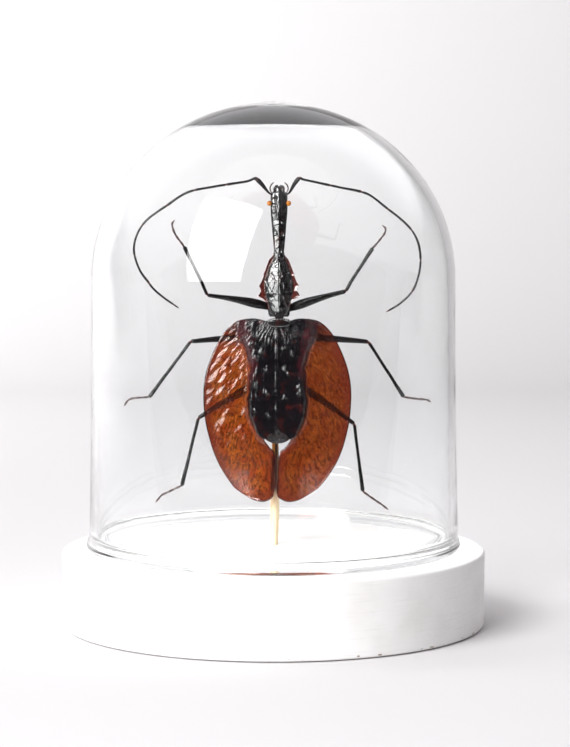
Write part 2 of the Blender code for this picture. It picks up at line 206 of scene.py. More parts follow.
@dataclass
class Surface:
    """A closed surface: points in millimetres, four- and three-sided faces, and named values."""

    points: np.ndarray
    quads: np.ndarray
    triangles: np.ndarray
    values: dict[str, np.ndarray] = field(default_factory=dict)

    @classmethod
    def from_rings(cls, rings: np.ndarray, **values: np.ndarray) -> Surface:
        """Skins a stack of closed rings and closes both ends with a fan of triangles.

        Args:
            rings: Points as (ring, place on the ring, coordinate).
            values: Named values as (ring, place on the ring).

        Returns:
            The closed surface, facing outwards.
        """
        rows, columns = rings.shape[:2]
        index = np.arange(rows * columns).reshape(rows, columns)
        turned = np.roll(index, -1, axis=1)
        quads = np.stack([index[:-1], turned[:-1], turned[1:], index[1:]], axis=-1).reshape(-1, 4)
        first, last = np.full(columns, rows * columns), np.full(columns, rows * columns + 1)
        fans = [np.stack([turned[0], index[0], first], 1), np.stack([index[-1], turned[-1], last], 1)]
        points = np.vstack([rings.reshape(-1, 3), rings[0].mean(axis=0), rings[-1].mean(axis=0)])
        kept = {
            name: np.concatenate([v.ravel(), [v[0].mean()], [v[-1].mean()]])
            for name, v in ((name, np.broadcast_to(v, (rows, columns))) for name, v in values.items())
        }
        return cls(points, quads, np.vstack(fans), kept).facing_out()

    @classmethod
    def from_sheet(cls, front: np.ndarray, back: np.ndarray, **values: np.ndarray) -> Surface:
        """Closes two grids of points into one leaf with a strip of faces around its edge.

        Args:
            front: Points of one face as (row, column, coordinate).
            back: Points of the other face, in the same order.
            values: Named values as (row, column), which both faces share.

        Returns:
            The closed surface, facing outwards.
        """
        rows, columns = front.shape[:2]
        index = np.arange(rows * columns).reshape(rows, columns)
        faces = np.stack([index[:-1, :-1], index[1:, :-1], index[1:, 1:], index[:-1, 1:]], -1).reshape(-1, 4)
        edge = np.concatenate([index[0, :-1], index[:-1, -1], index[-1, :0:-1], index[:0:-1, 0]])
        after = np.roll(edge, -1)
        count = rows * columns
        strip = np.stack([edge, after, after + count, edge + count], axis=1)
        quads = np.vstack([faces, faces[:, ::-1] + count, strip])
        points = np.vstack([front.reshape(-1, 3), back.reshape(-1, 3)])
        kept = {name: np.tile(v.ravel(), 2) for name, v in values.items()}
        return cls(points, quads, np.empty((0, 3), dtype=int), kept).facing_out()

    def facing_out(self) -> Surface:
        """Turns the faces round where the volume that they enclose would be negative.

        Returns:
            This surface.
        """
        fans = np.vstack([self.triangles, self.quads[:, :3], self.quads[:, [0, 2, 3]]])
        a, b, c = (self.points[fans[:, k]] for k in range(3))
        if np.einsum("ij,ij->i", a, np.cross(b, c)).sum() < 0:
            self.quads, self.triangles = self.quads[:, ::-1], self.triangles[:, ::-1]
        return self

    def joined(self, *others: Surface) -> Surface:
        """Puts other surfaces into this one, with 0 for each value that one of them lacks.

        Args:
            others: The surfaces to add.

        Returns:
            One surface that holds them all.
        """
        parts = (self, *others)
        starts = np.cumsum([0] + [len(p.points) for p in parts[:-1]])
        names = {name for p in parts for name in p.values}
        return Surface(
            np.vstack([p.points for p in parts]),
            np.vstack([p.quads + s for p, s in zip(parts, starts)]),
            np.vstack([p.triangles + s for p, s in zip(parts, starts)]),
            {n: np.concatenate([p.values.get(n, np.zeros(len(p.points))) for p in parts]) for n in names},
        )

    def piece(self, name: str, finish: Finish) -> bpy.types.Object:
        """Makes the object of this surface and gives it its finish.

        Args:
            name: The object's name.
            finish: The finish that it wears.

        Returns:
            The object, linked to the scene, at the origin.
        """
        mesh = bpy.data.meshes.new(name)
        faces = self.quads.tolist() + self.triangles.tolist()
        mesh.from_pydata((self.points * MM).tolist(), [], faces)
        for label, value in self.values.items():
            kept = mesh.attributes.new(label, "FLOAT", "POINT")
            kept.data.foreach_set("value", value.astype(np.float32))
        mesh.shade_smooth()
        mesh.materials.append(finish.material())
        made = bpy.data.objects.new(name, mesh)
        bpy.context.scene.collection.objects.link(made)
        return made


def tube(route: np.ndarray, sides: int = 20, flat: float = 1.0, **values: np.ndarray) -> Surface:
    """A round or oval profile carried along a path.

    Each ring is the path's point plus radius times (cos a times the sideways normal, plus flat times
    sin a times the other normal). The sideways normal lies in the beetle's own plane.

    Args:
        route: Rows of x, y, z and radius.
        sides: Points of a ring.
        flat: Depth of the oval as a share of its width.
        values: Named values as one number for each row of the route.

    Returns:
        The closed tube.
    """
    middle, radius = route[:, :3], route[:, 3]
    along = np.gradient(middle, axis=0)
    along /= np.linalg.norm(along, axis=1, keepdims=True)
    sideways = np.cross(along, (0.0, 1.0, 0.0))
    sideways /= np.linalg.norm(sideways, axis=1, keepdims=True)
    deep = np.cross(along, sideways)
    a = np.linspace(0, TAU, sides, endpoint=False)[None, :, None]
    reach = radius[:, None, None]
    rings = middle[:, None] + reach * (np.cos(a) * sideways[:, None] + flat * np.sin(a) * deep[:, None])
    return Surface.from_rings(rings, **{name: v[:, None] for name, v in values.items()})


def bristles(roots: np.ndarray, ways: np.ndarray, length: float, radius: float) -> Surface:
    """Many short stiff hairs, each a three-sided cone: a root triangle and a tip.

    Args:
        roots: Where each hair starts, one row each.
        ways: The direction of each hair, one row each.
        length: The length of a hair.
        radius: The radius at its root.

    Returns:
        One surface with all hairs.
    """
    ways = ways / np.linalg.norm(ways, axis=1, keepdims=True)
    first = np.cross(ways, (0.31, 0.67, 0.67))
    first /= np.linalg.norm(first, axis=1, keepdims=True)
    second = np.cross(ways, first)
    a = (np.arange(3) * TAU / 3)[None, :, None]
    base = roots[:, None] + radius * (np.cos(a) * first[:, None] + np.sin(a) * second[:, None])
    points = np.concatenate([base, (roots + ways * length)[:, None]], axis=1).reshape(-1, 3)
    cone = np.array([[0, 1, 3], [1, 2, 3], [2, 0, 3], [0, 2, 1]])
    faces = (np.arange(len(roots)) * 4)[:, None, None] + cone
    return Surface(points, np.empty((0, 4), dtype=int), faces.reshape(-1, 3)).facing_out()


# Finishes


def add_node(
    tree: bpy.types.NodeTree,
    kind: str,
    settings: dict[str, object] | None = None,
    inputs: dict[str | int, object] | None = None,
) -> bpy.types.Node:
    """Adds a node with its settings and its links.

    Args:
        tree: The node tree that it goes into.
        kind: Blender's type name of the node.
        settings: Properties of the node.
        inputs: For each input socket a value, or the output socket to link to it.

    Returns:
        The new node.
    """
    made = tree.nodes.new(kind)
    for name, value in (settings or {}).items():
        setattr(made, name, value)
    for name, value in (inputs or {}).items():
        if isinstance(value, bpy.types.NodeSocket):
            tree.links.new(value, made.inputs[name])
        else:
            made.inputs[name].default_value = value
    return made


@dataclass(frozen=True)
class Finish:
    """What every finish has: its material's name, main colour, roughness and index of refraction.

    Wax is how much of a smooth clear coat lies over it.
    """

    name: str
    colour: str
    roughness: float
    ior: float
    wax: float = 0.0

    def material(self) -> bpy.types.Material:
        """Makes the material the first time it is asked for.

        Returns:
            The material, which every piece with this finish shares.
        """
        if self.name in bpy.data.materials:
            return bpy.data.materials[self.name]
        made = bpy.data.materials.new(self.name)
        made.use_nodes = True
        made.diffuse_color = linear(self.colour)
        tree = made.node_tree
        shader = tree.nodes["Principled BSDF"]
        shader.inputs["Base Color"].default_value = linear(self.colour)
        shader.inputs["Roughness"].default_value = self.roughness
        shader.inputs["IOR"].default_value = self.ior
        shader.inputs["Coat Weight"].default_value = self.wax
        shader.inputs["Coat IOR"].default_value = WAX_IOR
        shader.inputs["Coat Roughness"].default_value = WAX_ROUGHNESS
        self.dress(tree, shader)
        return made

    def dress(self, tree: bpy.types.NodeTree, shader: bpy.types.Node) -> None:
        """Adds the finish's own pattern. The plain finish has none."""

    def mottle(
        self, tree: bpy.types.NodeTree, size: float, detail: float = 3.0, **more: object
    ) -> bpy.types.Node:
        """Adds noise of a given size on Object coordinates.

        Args:
            tree: The node tree that it goes into.
            size: The noise's spacing in millimetres.
            detail: How many finer layers it has.
            more: Further inputs of the noise node.

        Returns:
            The noise node.
        """
        place = add_node(tree, "ShaderNodeTexCoord").outputs["Object"]
        inputs = {"Vector": place, "Scale": 1000.0 / size, "Detail": detail, **more}
        return add_node(tree, "ShaderNodeTexNoise", inputs=inputs)

    def blended(
        self, tree: bpy.types.NodeTree, share: object, first: object, second: object
    ) -> bpy.types.NodeSocket:
        """Blends two colours.

        Args:
            tree: The node tree that the blend goes into.
            share: How much of the second colour shows, as a number or a socket.
            first: The first colour, as linear values or a socket.
            second: The second colour.

        Returns:
            The blended colour's socket.
        """
        inputs = {0: share, 6: first, 7: second}
        return add_node(tree, "ShaderNodeMix", {"data_type": "RGBA"}, inputs).outputs[2]

    def between(
        self, tree: bpy.types.NodeTree, value: object, low: float, high: float, to: tuple = (0.0, 1.0)
    ) -> bpy.types.NodeSocket:
        """Maps the span from low to high onto another span, smoothly and with both ends held.

        Args:
            tree: The node tree that it goes into.
            value: The socket to map.
            low: Where the span starts.
            high: Where it ends.
            to: The values at both ends.

        Returns:
            The mapped value's socket.
        """
        inputs = {"Value": value, "From Min": low, "From Max": high, "To Min": to[0], "To Max": to[1]}
        smooth = {"interpolation_type": "SMOOTHSTEP"}
        return add_node(tree, "ShaderNodeMapRange", smooth, inputs).outputs["Result"]


@dataclass(frozen=True)
class BlownGlass(Finish):
    """Soda-lime glass, blown and fire-polished: clear, sharp reflections, faint cords inside.

    The cords are soft waves some 9 mm long, which bend reflections and what shows through. The very
    foot is ground flat, so it is frosted and shows no picture of what stands above it.
    """

    cord_size: float = 9.0
    ground: float = 0.45

    def dress(self, tree: bpy.types.NodeTree, shader: bpy.types.Node) -> None:
        """Makes it transmit, frosts the ground foot and adds the soft waves of blown glass as a bump."""
        shader.inputs["Transmission Weight"].default_value = 1.0
        place = add_node(tree, "ShaderNodeTexCoord").outputs["Object"]
        height = add_node(tree, "ShaderNodeSeparateXYZ", inputs={0: place}).outputs["Z"]
        frost = self.between(tree, height, 0.0204, 0.0212, (self.ground, 0.0))
        tree.links.new(frost, shader.inputs["Roughness"])
        waves = self.mottle(tree, self.cord_size, 1.0)
        inputs = {"Strength": 0.05, "Distance": 0.0006, "Height": waves.outputs["Fac"]}
        bump = add_node(tree, "ShaderNodeBump", inputs=inputs)
        tree.links.new(bump.outputs["Normal"], shader.inputs["Normal"])


@dataclass(frozen=True)
class PaintedWood(Finish):
    """Turned beech under matt white acrylic paint, brushed on around the disc.

    Brush lines run around the rim, some 0.5 mm apart, the wood's pores show as fine pits, and along
    the lower rim small chips bare the grey-brown wood.
    """

    wood: str = "9C8B7C"
    shade: str = "DAD6D4"

    def dress(self, tree: bpy.types.NodeTree, shader: bpy.types.Node) -> None:
        """Adds brush lines, pores, faint yellowing and the chips."""
        around = add_node(tree, "ShaderNodeAttribute", {"attribute_name": "around"}).outputs["Fac"]
        across = add_node(tree, "ShaderNodeAttribute", {"attribute_name": "across"}).outputs["Fac"]
        wear = add_node(tree, "ShaderNodeAttribute", {"attribute_name": "wear"}).outputs["Fac"]
        lie = add_node(tree, "ShaderNodeCombineXYZ", inputs={"X": around, "Y": across})
        inputs = {"Vector": lie.outputs[0], "Scale": (0.06, 2.0, 1.0)}
        brush = add_node(tree, "ShaderNodeMapping", inputs=inputs)
        lines = add_node(
            tree, "ShaderNodeTexNoise", inputs={"Vector": brush.outputs[0], "Scale": 1.0, "Detail": 4.0}
        ).outputs["Fac"]
        clouds = self.mottle(tree, 14.0).outputs["Fac"]
        pores = self.mottle(tree, 0.8).outputs["Fac"]
        dull = self.between(tree, clouds, 0.4, 0.75, (0.0, 0.35))
        tone = self.blended(tree, dull, linear(self.colour), linear(self.shade))
        tone = self.blended(tree, self.between(tree, lines, 0.56, 0.8, (0.0, 0.5)), tone, linear(self.shade))
        flakes = self.mottle(tree, 2.2, 5.0).outputs["Fac"]
        loose = add_node(tree, "ShaderNodeMath", {"operation": "MULTIPLY"}, {0: flakes, 1: wear}).outputs[0]
        chip = self.between(tree, loose, 0.58, 0.62)
        tone = self.blended(tree, chip, tone, linear(self.wood))
        tree.links.new(tone, shader.inputs["Base Color"])
        scaled = {"operation": "MULTIPLY_ADD"}
        height = add_node(tree, "ShaderNodeMath", scaled, {0: lines, 1: 1.4, 2: pores}).outputs[0]
        height = add_node(tree, "ShaderNodeMath", scaled, {0: chip, 1: -2.0, 2: height}).outputs[0]
        inputs = {"Strength": 0.35, "Distance": 0.0002, "Height": height}
        bump = add_node(tree, "ShaderNodeBump", inputs=inputs)
        tree.links.new(bump.outputs["Normal"], shader.inputs["Normal"])


@dataclass(frozen=True)
class SplitBamboo(Finish):
    """Split and shaved bamboo: pale straw with brown fibre streaks, and painted shade behind the beetle.

    Fibre bundles are some 0.25 mm wide and centimetres long. Between the wing cases it is darkened by
    painted shade, and above them golden brown, with a black painted shadow down its right side.
    """

    streak: str = "A9773A"
    golden_upper: str = "A8701F"
    painted_shadow_side: str = "1C0F0C"
    # painted shade for the part of the stick behind the wing cases
    shaded: str = "4A2A2C"

    def dress(self, tree: bpy.types.NodeTree, shader: bpy.types.Node) -> None:
        """Adds the long fibres, as colour and relief, the golden upper part, and painted shade and shadow."""
        place = add_node(tree, "ShaderNodeTexCoord").outputs["Object"]
        long = add_node(tree, "ShaderNodeMapping", inputs={"Vector": place, "Scale": (4200.0, 4200.0, 60.0)})
        fibres = add_node(
            tree, "ShaderNodeTexNoise", inputs={"Vector": long.outputs[0], "Scale": 1.0, "Detail": 3.0}
        ).outputs["Fac"]
        parts = add_node(tree, "ShaderNodeSeparateXYZ", inputs={0: place}).outputs
        # painted shadow: above the wing cases the stick's right side, away from the light, is painted near
        # black
        right = self.between(tree, parts["X"], 0.0003, 0.0006)
        upper = self.blended(tree, right, linear(self.golden_upper), linear(self.painted_shadow_side))
        # painted shade: from 33 mm up, where the stick runs behind the wing cases, it is painted dark
        behind = self.between(tree, parts["Z"], 0.0325, 0.0365)
        tone = self.blended(tree, behind, linear(self.colour), linear(self.shaded))
        tone = self.blended(tree, self.between(tree, parts["Z"], 0.0435, 0.0455), tone, upper)
        fibrous = self.between(tree, fibres, 0.5, 0.72, (0.0, 0.75))
        tone = self.blended(tree, fibrous, tone, linear(self.streak))
        tree.links.new(tone, shader.inputs["Base Color"])
        inputs = {"Strength": 0.5, "Distance": 0.0002, "Height": fibres}
        bump = add_node(tree, "ShaderNodeBump", inputs=inputs)
        tree.links.new(bump.outputs["Normal"], shader.inputs["Normal"])


@dataclass(frozen=True)
class DarkChitin(Finish):
    """Beetle cuticle, hardened black and waxed by the animal: glossy with fine pits and creases.

    The real network of pits is 0.05 mm wide, too fine to show, so it is drawn 0.16 mm wide. Where
    the cuticle is thin it is dark red, and the attribute joint turns it red-brown.
    """

    thin: str = "3A1510"
    joint: str = "4A160E"
    pit_size: float = 0.16
    crease_size: float = 0.9
    crease: float = 0.25

    def dress(self, tree: bpy.types.NodeTree, shader: bpy.types.Node) -> None:
        """Adds red undertones, the joints' colour, pits and creases."""
        clouds = self.mottle(tree, 2.6, 2.0).outputs["Fac"]
        joint = add_node(tree, "ShaderNodeAttribute", {"attribute_name": "joint"}).outputs["Fac"]
        red = self.between(tree, clouds, 0.52, 0.8, (0.0, 0.6))
        tone = self.blended(tree, red, linear(self.colour), linear(self.thin))
        tone = self.blended(tree, joint, tone, linear(self.joint))
        tree.links.new(tone, shader.inputs["Base Color"])
        pits = self.mottle(tree, self.pit_size, 1.0).outputs["Fac"]
        creases = self.mottle(tree, self.crease_size, 2.0).outputs["Fac"]
        rough = self.between(tree, creases, 0.35, 0.7, (self.roughness * 0.75, self.roughness * 1.4))
        tree.links.new(rough, shader.inputs["Roughness"])
        fine = add_node(tree, "ShaderNodeBump", inputs={"Strength": 0.2, "Distance": 0.00003, "Height": pits})
        inputs = {"Strength": self.crease, "Distance": 0.0002, "Height": creases}
        inputs["Normal"] = fine.outputs["Normal"]
        bump = add_node(tree, "ShaderNodeBump", inputs=inputs)
        tree.links.new(bump.outputs["Normal"], shader.inputs["Normal"])


@dataclass(frozen=True)
class LeafChitin(Finish):
    """Wing-case cuticle: amber and half clear in the thin leaf, black and opaque in the thick middle.

    Fine lines fan out from the shoulder, really some 0.1 mm apart and drawn 0.3 mm apart. The rim is
    dark red, and the shoulders are a translucent purple-brown.
    """

    margin: str = "8C3520"
    glow: str = "CE6A1A"
    grain: str = "4A1404"
    # a darker brown, laid mostly over the right wing case
    brown: str = "7E340C"
    rim: str = "4A150D"
    shoulder: str = "300E12"
    middle: str = "0A080B"
    patch: str = "3A100E"

    def dress(self, tree: bpy.types.NodeTree, shader: bpy.types.Node) -> None:
        """Lays the colours over each other by the mesh's own masks, and lets the leaf shine through."""
        mask = {
            name: add_node(tree, "ShaderNodeAttribute", {"attribute_name": name}).outputs["Fac"]
            for name in ("middle", "rim", "margin", "shoulder", "flank", "browned", "fan_reach", "fan_turn")
        }
        fan = add_node(tree, "ShaderNodeCombineXYZ", inputs={"X": mask["fan_reach"], "Y": mask["fan_turn"]})
        inputs = {"Vector": fan.outputs[0], "Scale": (0.5, 2.6, 1.0)}
        long = add_node(tree, "ShaderNodeMapping", inputs=inputs)
        lines = add_node(
            tree, "ShaderNodeTexNoise", inputs={"Vector": long.outputs[0], "Scale": 1.0, "Detail": 3.0}
        ).outputs["Fac"]
        clouds = self.mottle(tree, 3.2, 5.0, Roughness=0.68).outputs["Fac"]
        bright = self.between(tree, clouds, 0.40, 0.60)
        tone = self.blended(tree, bright, linear(self.colour), linear(self.glow))
        streak = self.between(tree, lines, 0.47, 0.63, (0.0, 0.55))
        # the right wing case takes more of this darker brown than the left
        tone = self.blended(tree, mask["browned"], tone, linear(self.brown))
        flecks = self.mottle(tree, 0.8, 3.0, Roughness=0.7).outputs["Fac"]
        tone = self.blended(tree, streak, tone, linear(self.grain))
        tone = self.blended(tree, self.between(tree, flecks, 0.5, 0.6, (0.0, 0.6)), tone, linear(self.grain))
        tone = self.blended(tree, mask["margin"], tone, linear(self.margin))
        tone = self.blended(tree, mask["shoulder"], tone, linear(self.shoulder))
        tone = self.blended(tree, mask["rim"], tone, linear(self.rim))
        warm = self.between(tree, clouds, 0.56, 0.68, (0.0, 0.8))
        dark = self.blended(tree, warm, linear(self.middle), linear(self.patch))
        dark = self.blended(tree, mask["flank"], dark, linear(self.shoulder))
        tone = self.blended(tree, mask["middle"], tone, dark)
        tree.links.new(tone, shader.inputs["Base Color"])
        clear = self.between(tree, mask["middle"], 0.0, 0.9, (0.95, 0.0))
        tree.links.new(clear, shader.inputs["Transmission Weight"])
        rough = self.between(tree, clouds, 0.3, 0.7, (self.roughness * 0.8, self.roughness * 1.3))
        tree.links.new(rough, shader.inputs["Roughness"])
        pits = self.mottle(tree, 0.18, 1.0).outputs["Fac"]
        fine = add_node(tree, "ShaderNodeBump", inputs={"Strength": 0.2, "Distance": 0.00003, "Height": pits})
        inputs = {"Strength": 0.35, "Distance": 0.00012, "Height": lines, "Normal": fine.outputs["Normal"]}
        bump = add_node(tree, "ShaderNodeBump", inputs=inputs)
        tree.links.new(bump.outputs["Normal"], shader.inputs["Normal"])


@dataclass(frozen=True)
class CompoundEye(Finish):
    """A dried compound eye: tan horn with hundreds of lenses, really 0.03 mm and drawn 0.14 mm wide."""

    lens_size: float = 0.14
    dark: str = "6B3E12"

    def dress(self, tree: bpy.types.NodeTree, shader: bpy.types.Node) -> None:
        """Adds the lenses, as relief and as darker seams between them."""
        place = add_node(tree, "ShaderNodeTexCoord").outputs["Object"]
        inputs = {"Vector": place, "Scale": 1000.0 / self.lens_size}
        cells = add_node(tree, "ShaderNodeTexVoronoi", inputs=inputs).outputs["Distance"]
        seams = self.between(tree, cells, 0.3, 0.7, (0.0, 0.7))
        tone = self.blended(tree, seams, linear(self.colour), linear(self.dark))
        tree.links.new(tone, shader.inputs["Base Color"])
        inputs = {"Strength": 0.4, "Distance": 0.00004, "Height": cells}
        bump = add_node(tree, "ShaderNodeBump", {"invert": True}, inputs)
        tree.links.new(bump.outputs["Normal"], shader.inputs["Normal"])


@dataclass(frozen=True)
class Paper(Finish):
    """Seamless background paper: matt and pale, with a barely visible tooth.

    Mirrored is its colour in reflections; on the front strip it is painted shade, for the studio's unlit
    front.
    """

    mirrored: str = "E0DEDF"

    def dress(self, tree: bpy.types.NodeTree, shader: bpy.types.Node) -> None:
        """Adds the paper's tooth, and its colour in reflections, a painted shade on the front strip."""
        # painted shade: in reflections the paper takes its mirrored colour, dark on the front strip
        mirrors = add_node(tree, "ShaderNodeLightPath").outputs["Glossy Depth"]
        unlit = self.between(tree, mirrors, 0.0, 1.0)
        seen = self.blended(tree, unlit, linear(self.colour), linear(self.mirrored))
        tree.links.new(seen, shader.inputs["Base Color"])
        tooth = self.mottle(tree, 1.2)
        inputs = {"Strength": 0.04, "Distance": 0.0002, "Height": tooth.outputs["Fac"]}
        bump = add_node(tree, "ShaderNodeBump", inputs=inputs)
        tree.links.new(bump.outputs["Normal"], shader.inputs["Normal"])


GLASS = BlownGlass("blown_soda_lime_glass", "FEFFFF", 0.0, 1.52)
PAINT = PaintedWood("matt_white_paint_on_turned_wood", "F4F3F2", 0.62, 1.48)
BAMBOO = SplitBamboo("split_bamboo", "E6D2AC", 0.55, 1.5)
BLACK = DarkChitin("glossy_black_chitin", "060506", 0.12, 1.8, 1.0, crease=0.05)
LEG_BLACK = DarkChitin("black_leg_chitin", "060506", 0.12, 1.5, 0.1, thin="1A0A08", crease=0.12)
SATIN = DarkChitin("satin_black_chitin", "1A181B", 0.30, 1.56, 0.3, crease=0.15)
RED_BROWN = DarkChitin("red_brown_chitin", "34100A", 0.26, 1.56, 0.5, thin="2A100C")
LEAF = LeafChitin("amber_wing_leaf_chitin", "B84A12", 0.07, 1.56, 0.5)
EYE = CompoundEye("tan_compound_eye", "C0782E", 0.12, 1.5)
PAPER = Paper("white_background_paper", "E0DEDF", 0.9, 1.45)
# the front strip's mirrored colour is painted shade
UNLIT_PAPER = Paper("white_paper_with_painted_shade_in_mirrors", "E0DEDF", 0.9, 1.45, mirrored="2A292B")


# The object's pieces


class SubAssembly:
    """What every sub-assembly shares: the way that its finished pieces are placed and reported."""

    def place(self, piece: bpy.types.Object, slot: Slot, *nodes: str) -> None:
        """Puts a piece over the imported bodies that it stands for.

        Args:
            piece: The finished piece.
            slot: The record's slot that its finish belongs to.
            nodes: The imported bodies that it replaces.
        """
        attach(piece, BODY)
        if nodes:
            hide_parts(*nodes)
        LOG.info("%s: %d points, %s", piece.name, len(piece.data.vertices), slot.value)


@dataclass
class WoodenBase(SubAssembly):
    """The turned disc that the dome and the stick stand in."""

    radius: float = 57.5
    height: float = 20.0
    edge: float = 0.7
    hole_radius: float = 1.2
    hole_bottom: float = 10.0
    hole_middle: tuple[float, float] = (0.1, 4.4)
    steps: int = 256

    def build(self) -> None:
        """Makes the disc: rings from the hole's bottom, over the top and the rim, to the underside.

        Each ring is a circle whose middle slides from the hole's to the disc's: middle plus radius
        times (cos a, sin a). Wear is noise that is strong along the lower rim.
        """
        turn = np.linspace(math.pi / 2, 0, 9)
        top_rim = np.stack(
            [self.radius - self.edge * (1 - np.cos(turn)), self.height - self.edge * (1 - np.sin(turn))], 1
        )
        low_rim = top_rim[::-1] * (1, -1) + (0, self.height)
        hole = np.array(
            [(0.2, self.hole_bottom), (1.0, self.hole_bottom), (1.0, self.height - 0.15), (1.12, self.height)]
        )
        hole[:, 0] *= self.hole_radius
        flat = np.stack([np.linspace(2.0, self.radius - self.edge, 60), np.full(60, self.height)], 1)
        down = np.linspace(self.height - self.edge, self.edge, 42)[1:-1]
        wall = np.stack([np.full(40, self.radius), down], 1)
        under = np.array([(self.radius * 0.7, 0.0), (self.radius * 0.3, 0.0), (1.0, 0.0)])
        profile = np.vstack([hole, flat, top_rim, wall, low_rim, under])
        away = np.clip((profile[:, 0] - 2.0) / 20.0, 0, 1)
        away[len(hole) + 60 :] = 1.0
        a = np.linspace(0, TAU, self.steps, endpoint=False)
        x = self.hole_middle[0] * (1 - away)[:, None] + profile[:, :1] * np.cos(a)
        y = self.hole_middle[1] * (1 - away)[:, None] + profile[:, :1] * np.sin(a)
        z = np.broadcast_to(profile[:, 1:], x.shape)
        travel = np.concatenate([[0], np.cumsum(np.linalg.norm(np.diff(profile, axis=0), axis=1))])
        wear = np.exp(-((z - 0.6) ** 2) / 1.2) * (profile[:, :1] > self.radius - 1.5)
        upper = 0.55 * np.exp(-((z - 19.4) ** 2) / 0.3) * (profile[:, :1] > self.radius - 1.0)
        wear = wear * (0.55 + 0.45 * np.cos(a + math.radians(55))) + upper
        surface = Surface.from_rings(
            np.stack([x, y, z], axis=-1), around=self.radius * a[None], across=travel[:, None], wear=wear
        )
        self.place(surface.piece("base_disc", PAINT), Slot.WOOD, "wooden_base")


@dataclass
class GlassDome(SubAssembly):
    """The blown dome: thin at the wall, thick at the crown, with a rolled bead around its foot."""

    floor: float = 20.0
    waist_radius: float = 49.2
    waist_height: float = 73.3
    top_rise: float = 47.8
    foot_radius: float = 50.2
    wall: float = 2.2
    crown: float = 4.6
    bead_height: float = 3.4
    bead_out: float = 0.7
    seal_radius: float = 4.3
    gap: float = 0.3
    steps: int = 288

    def profile(self) -> np.ndarray:
        """The dome's section, as rows of radius and height above the base.

        The outer arc is waist radius times cos a and waist height plus rise times sin a. The bead is
        half a flat oval with a shallow groove. The inner arc lies the wall's thickness inside the outer
        one, which grows towards the crown.

        Returns:
            Rows from the outer top, down around the foot and up to the inner top.
        """
        arc = np.linspace(math.pi / 2, 0, 90)
        outer = np.stack(
            [self.waist_radius * np.cos(arc), self.waist_height + self.top_rise * np.sin(arc)], 1
        )
        share = np.linspace(0, 1, 40)[1:-1]
        down = np.stack(
            [self.waist_radius + (self.foot_radius - self.waist_radius) * share**2,
             self.waist_height + (self.bead_height - self.waist_height) * share], 1,
        )
        middle, half = self.foot_radius - self.wall / 2, self.wall / 2 + self.bead_out
        turn = np.linspace(math.radians(60), -math.radians(240), 44)
        groove = 1 - 0.10 * np.exp(-(((np.sin(turn) - 0.25) / 0.22) ** 2))
        bead = np.stack(
            [middle + half * np.cos(turn) * groove,
             self.gap + self.bead_height / 2 * (1 + np.sin(turn))], 1,
        )
        inner_radius = self.waist_radius - self.wall
        up = np.stack(
            [np.linspace(self.foot_radius - self.wall, inner_radius, 40)[1:-1],
             np.linspace(self.bead_height, self.waist_height, 40)[1:-1]], 1,
        )
        back = arc[::-1]
        thick = self.wall + (self.crown - self.wall) * ease(math.radians(59), math.radians(87), back)
        lean = np.stack([np.cos(back) / self.waist_radius, np.sin(back) / self.top_rise], 1)
        lean /= np.linalg.norm(lean, axis=1, keepdims=True)
        inner = np.stack(
            [self.waist_radius * np.cos(back), self.waist_height + self.top_rise * np.sin(back)], 1
        )
        inner -= thick[:, None] * lean
        return np.vstack([outer[1:], down, bead, up, inner[:-1]])

    def build(self) -> None:
        """Turns the section around Z, then adds what blowing leaves.

        The radius gains slow waves of some 0.15 mm, the bead flares by 0.25 mm at the left, and the
        top carries the wavy seal mark of some 0.2 mm, inside its own radius. Clear glass casts hardly
        any shadow, so it is given none.
        """
        section = self.profile()
        a = np.linspace(0, TAU, self.steps, endpoint=False)[None]
        radius, height = np.broadcast_arrays(section[:, :1], section[:, 1:])
        fullness = np.clip(radius / self.waist_radius, 0, 1)
        waves = 0.08 * np.cos(2 * a + 0.7) + 0.05 * np.cos(3 * a + height / 17.0)
        waves = waves + 0.035 * np.cos(5 * a - height / 9.0)
        foot = np.exp(-((height / 3.4) ** 2))
        bearing = (a - math.radians(196) + math.pi) % TAU - math.pi
        flare = 0.25 * foot * np.exp(-((bearing / math.radians(24)) ** 2)) * (radius > self.foot_radius - 1.2)
        r = radius + fullness * (waves * (1 - foot)) + flare
        outside = np.arange(len(section))[:, None] < 89
        x, y = r * np.cos(a), r * np.sin(a)
        seal = np.clip(1.3 - radius / self.seal_radius, 0, 1) ** 0.5 * outside
        ripple = 0.16 * grain(x / 1.1 + 40, y / 0.7 + 40, 5) + 0.10 * np.cos(x * 2.6 + 1.4 * np.sin(y * 1.3))
        z = self.floor + height + seal * (0.12 + ripple)
        surface = Surface.from_rings(np.stack(np.broadcast_arrays(x, y, z), axis=-1))
        dome = surface.piece("dome", GLASS)
        dome.visible_shadow = False
        self.place(dome, Slot.GLASS, "glass_dome")


@dataclass
class BambooStick(SubAssembly):
    """The stick behind the beetle, pointed at both ends."""

    route: tuple = (
        (0.1, 4.4, 10.3, 0.80), (0.2, 4.4, 20.0, 0.95), (0.3, 4.4, 30.0, 1.22),
        (0.45, 4.4, 47.0, 0.88), (0.6, 4.4, 62.0, 0.45),
    )
    sides: int = 40

    def build(self) -> None:
        """Carries a rounded five-sided profile up the route.

        The radius is the route's, times 1 plus 6 percent of cos 5 a, plus long fibre noise.
        """
        way = smooth_route(self.route, 160)
        a = np.linspace(0, TAU, self.sides, endpoint=False)[None]
        fibres = 0.035 * grain(np.arange(self.sides)[None] / 2.0, way[:, 2:3] / 9.0, 11, self.sides // 2)
        r = way[:, 3:4] * (1 + 0.06 * np.cos(5 * a + 0.6)) + fibres
        x, y = way[:, :1] + r * np.cos(a), way[:, 1:2] + r * np.sin(a)
        rings = np.stack([x, y, way[:, 2:3] + 0 * a], axis=-1)
        self.place(Surface.from_rings(rings).piece("stick", BAMBOO), Slot.BAMBOO, "bamboo_stick")


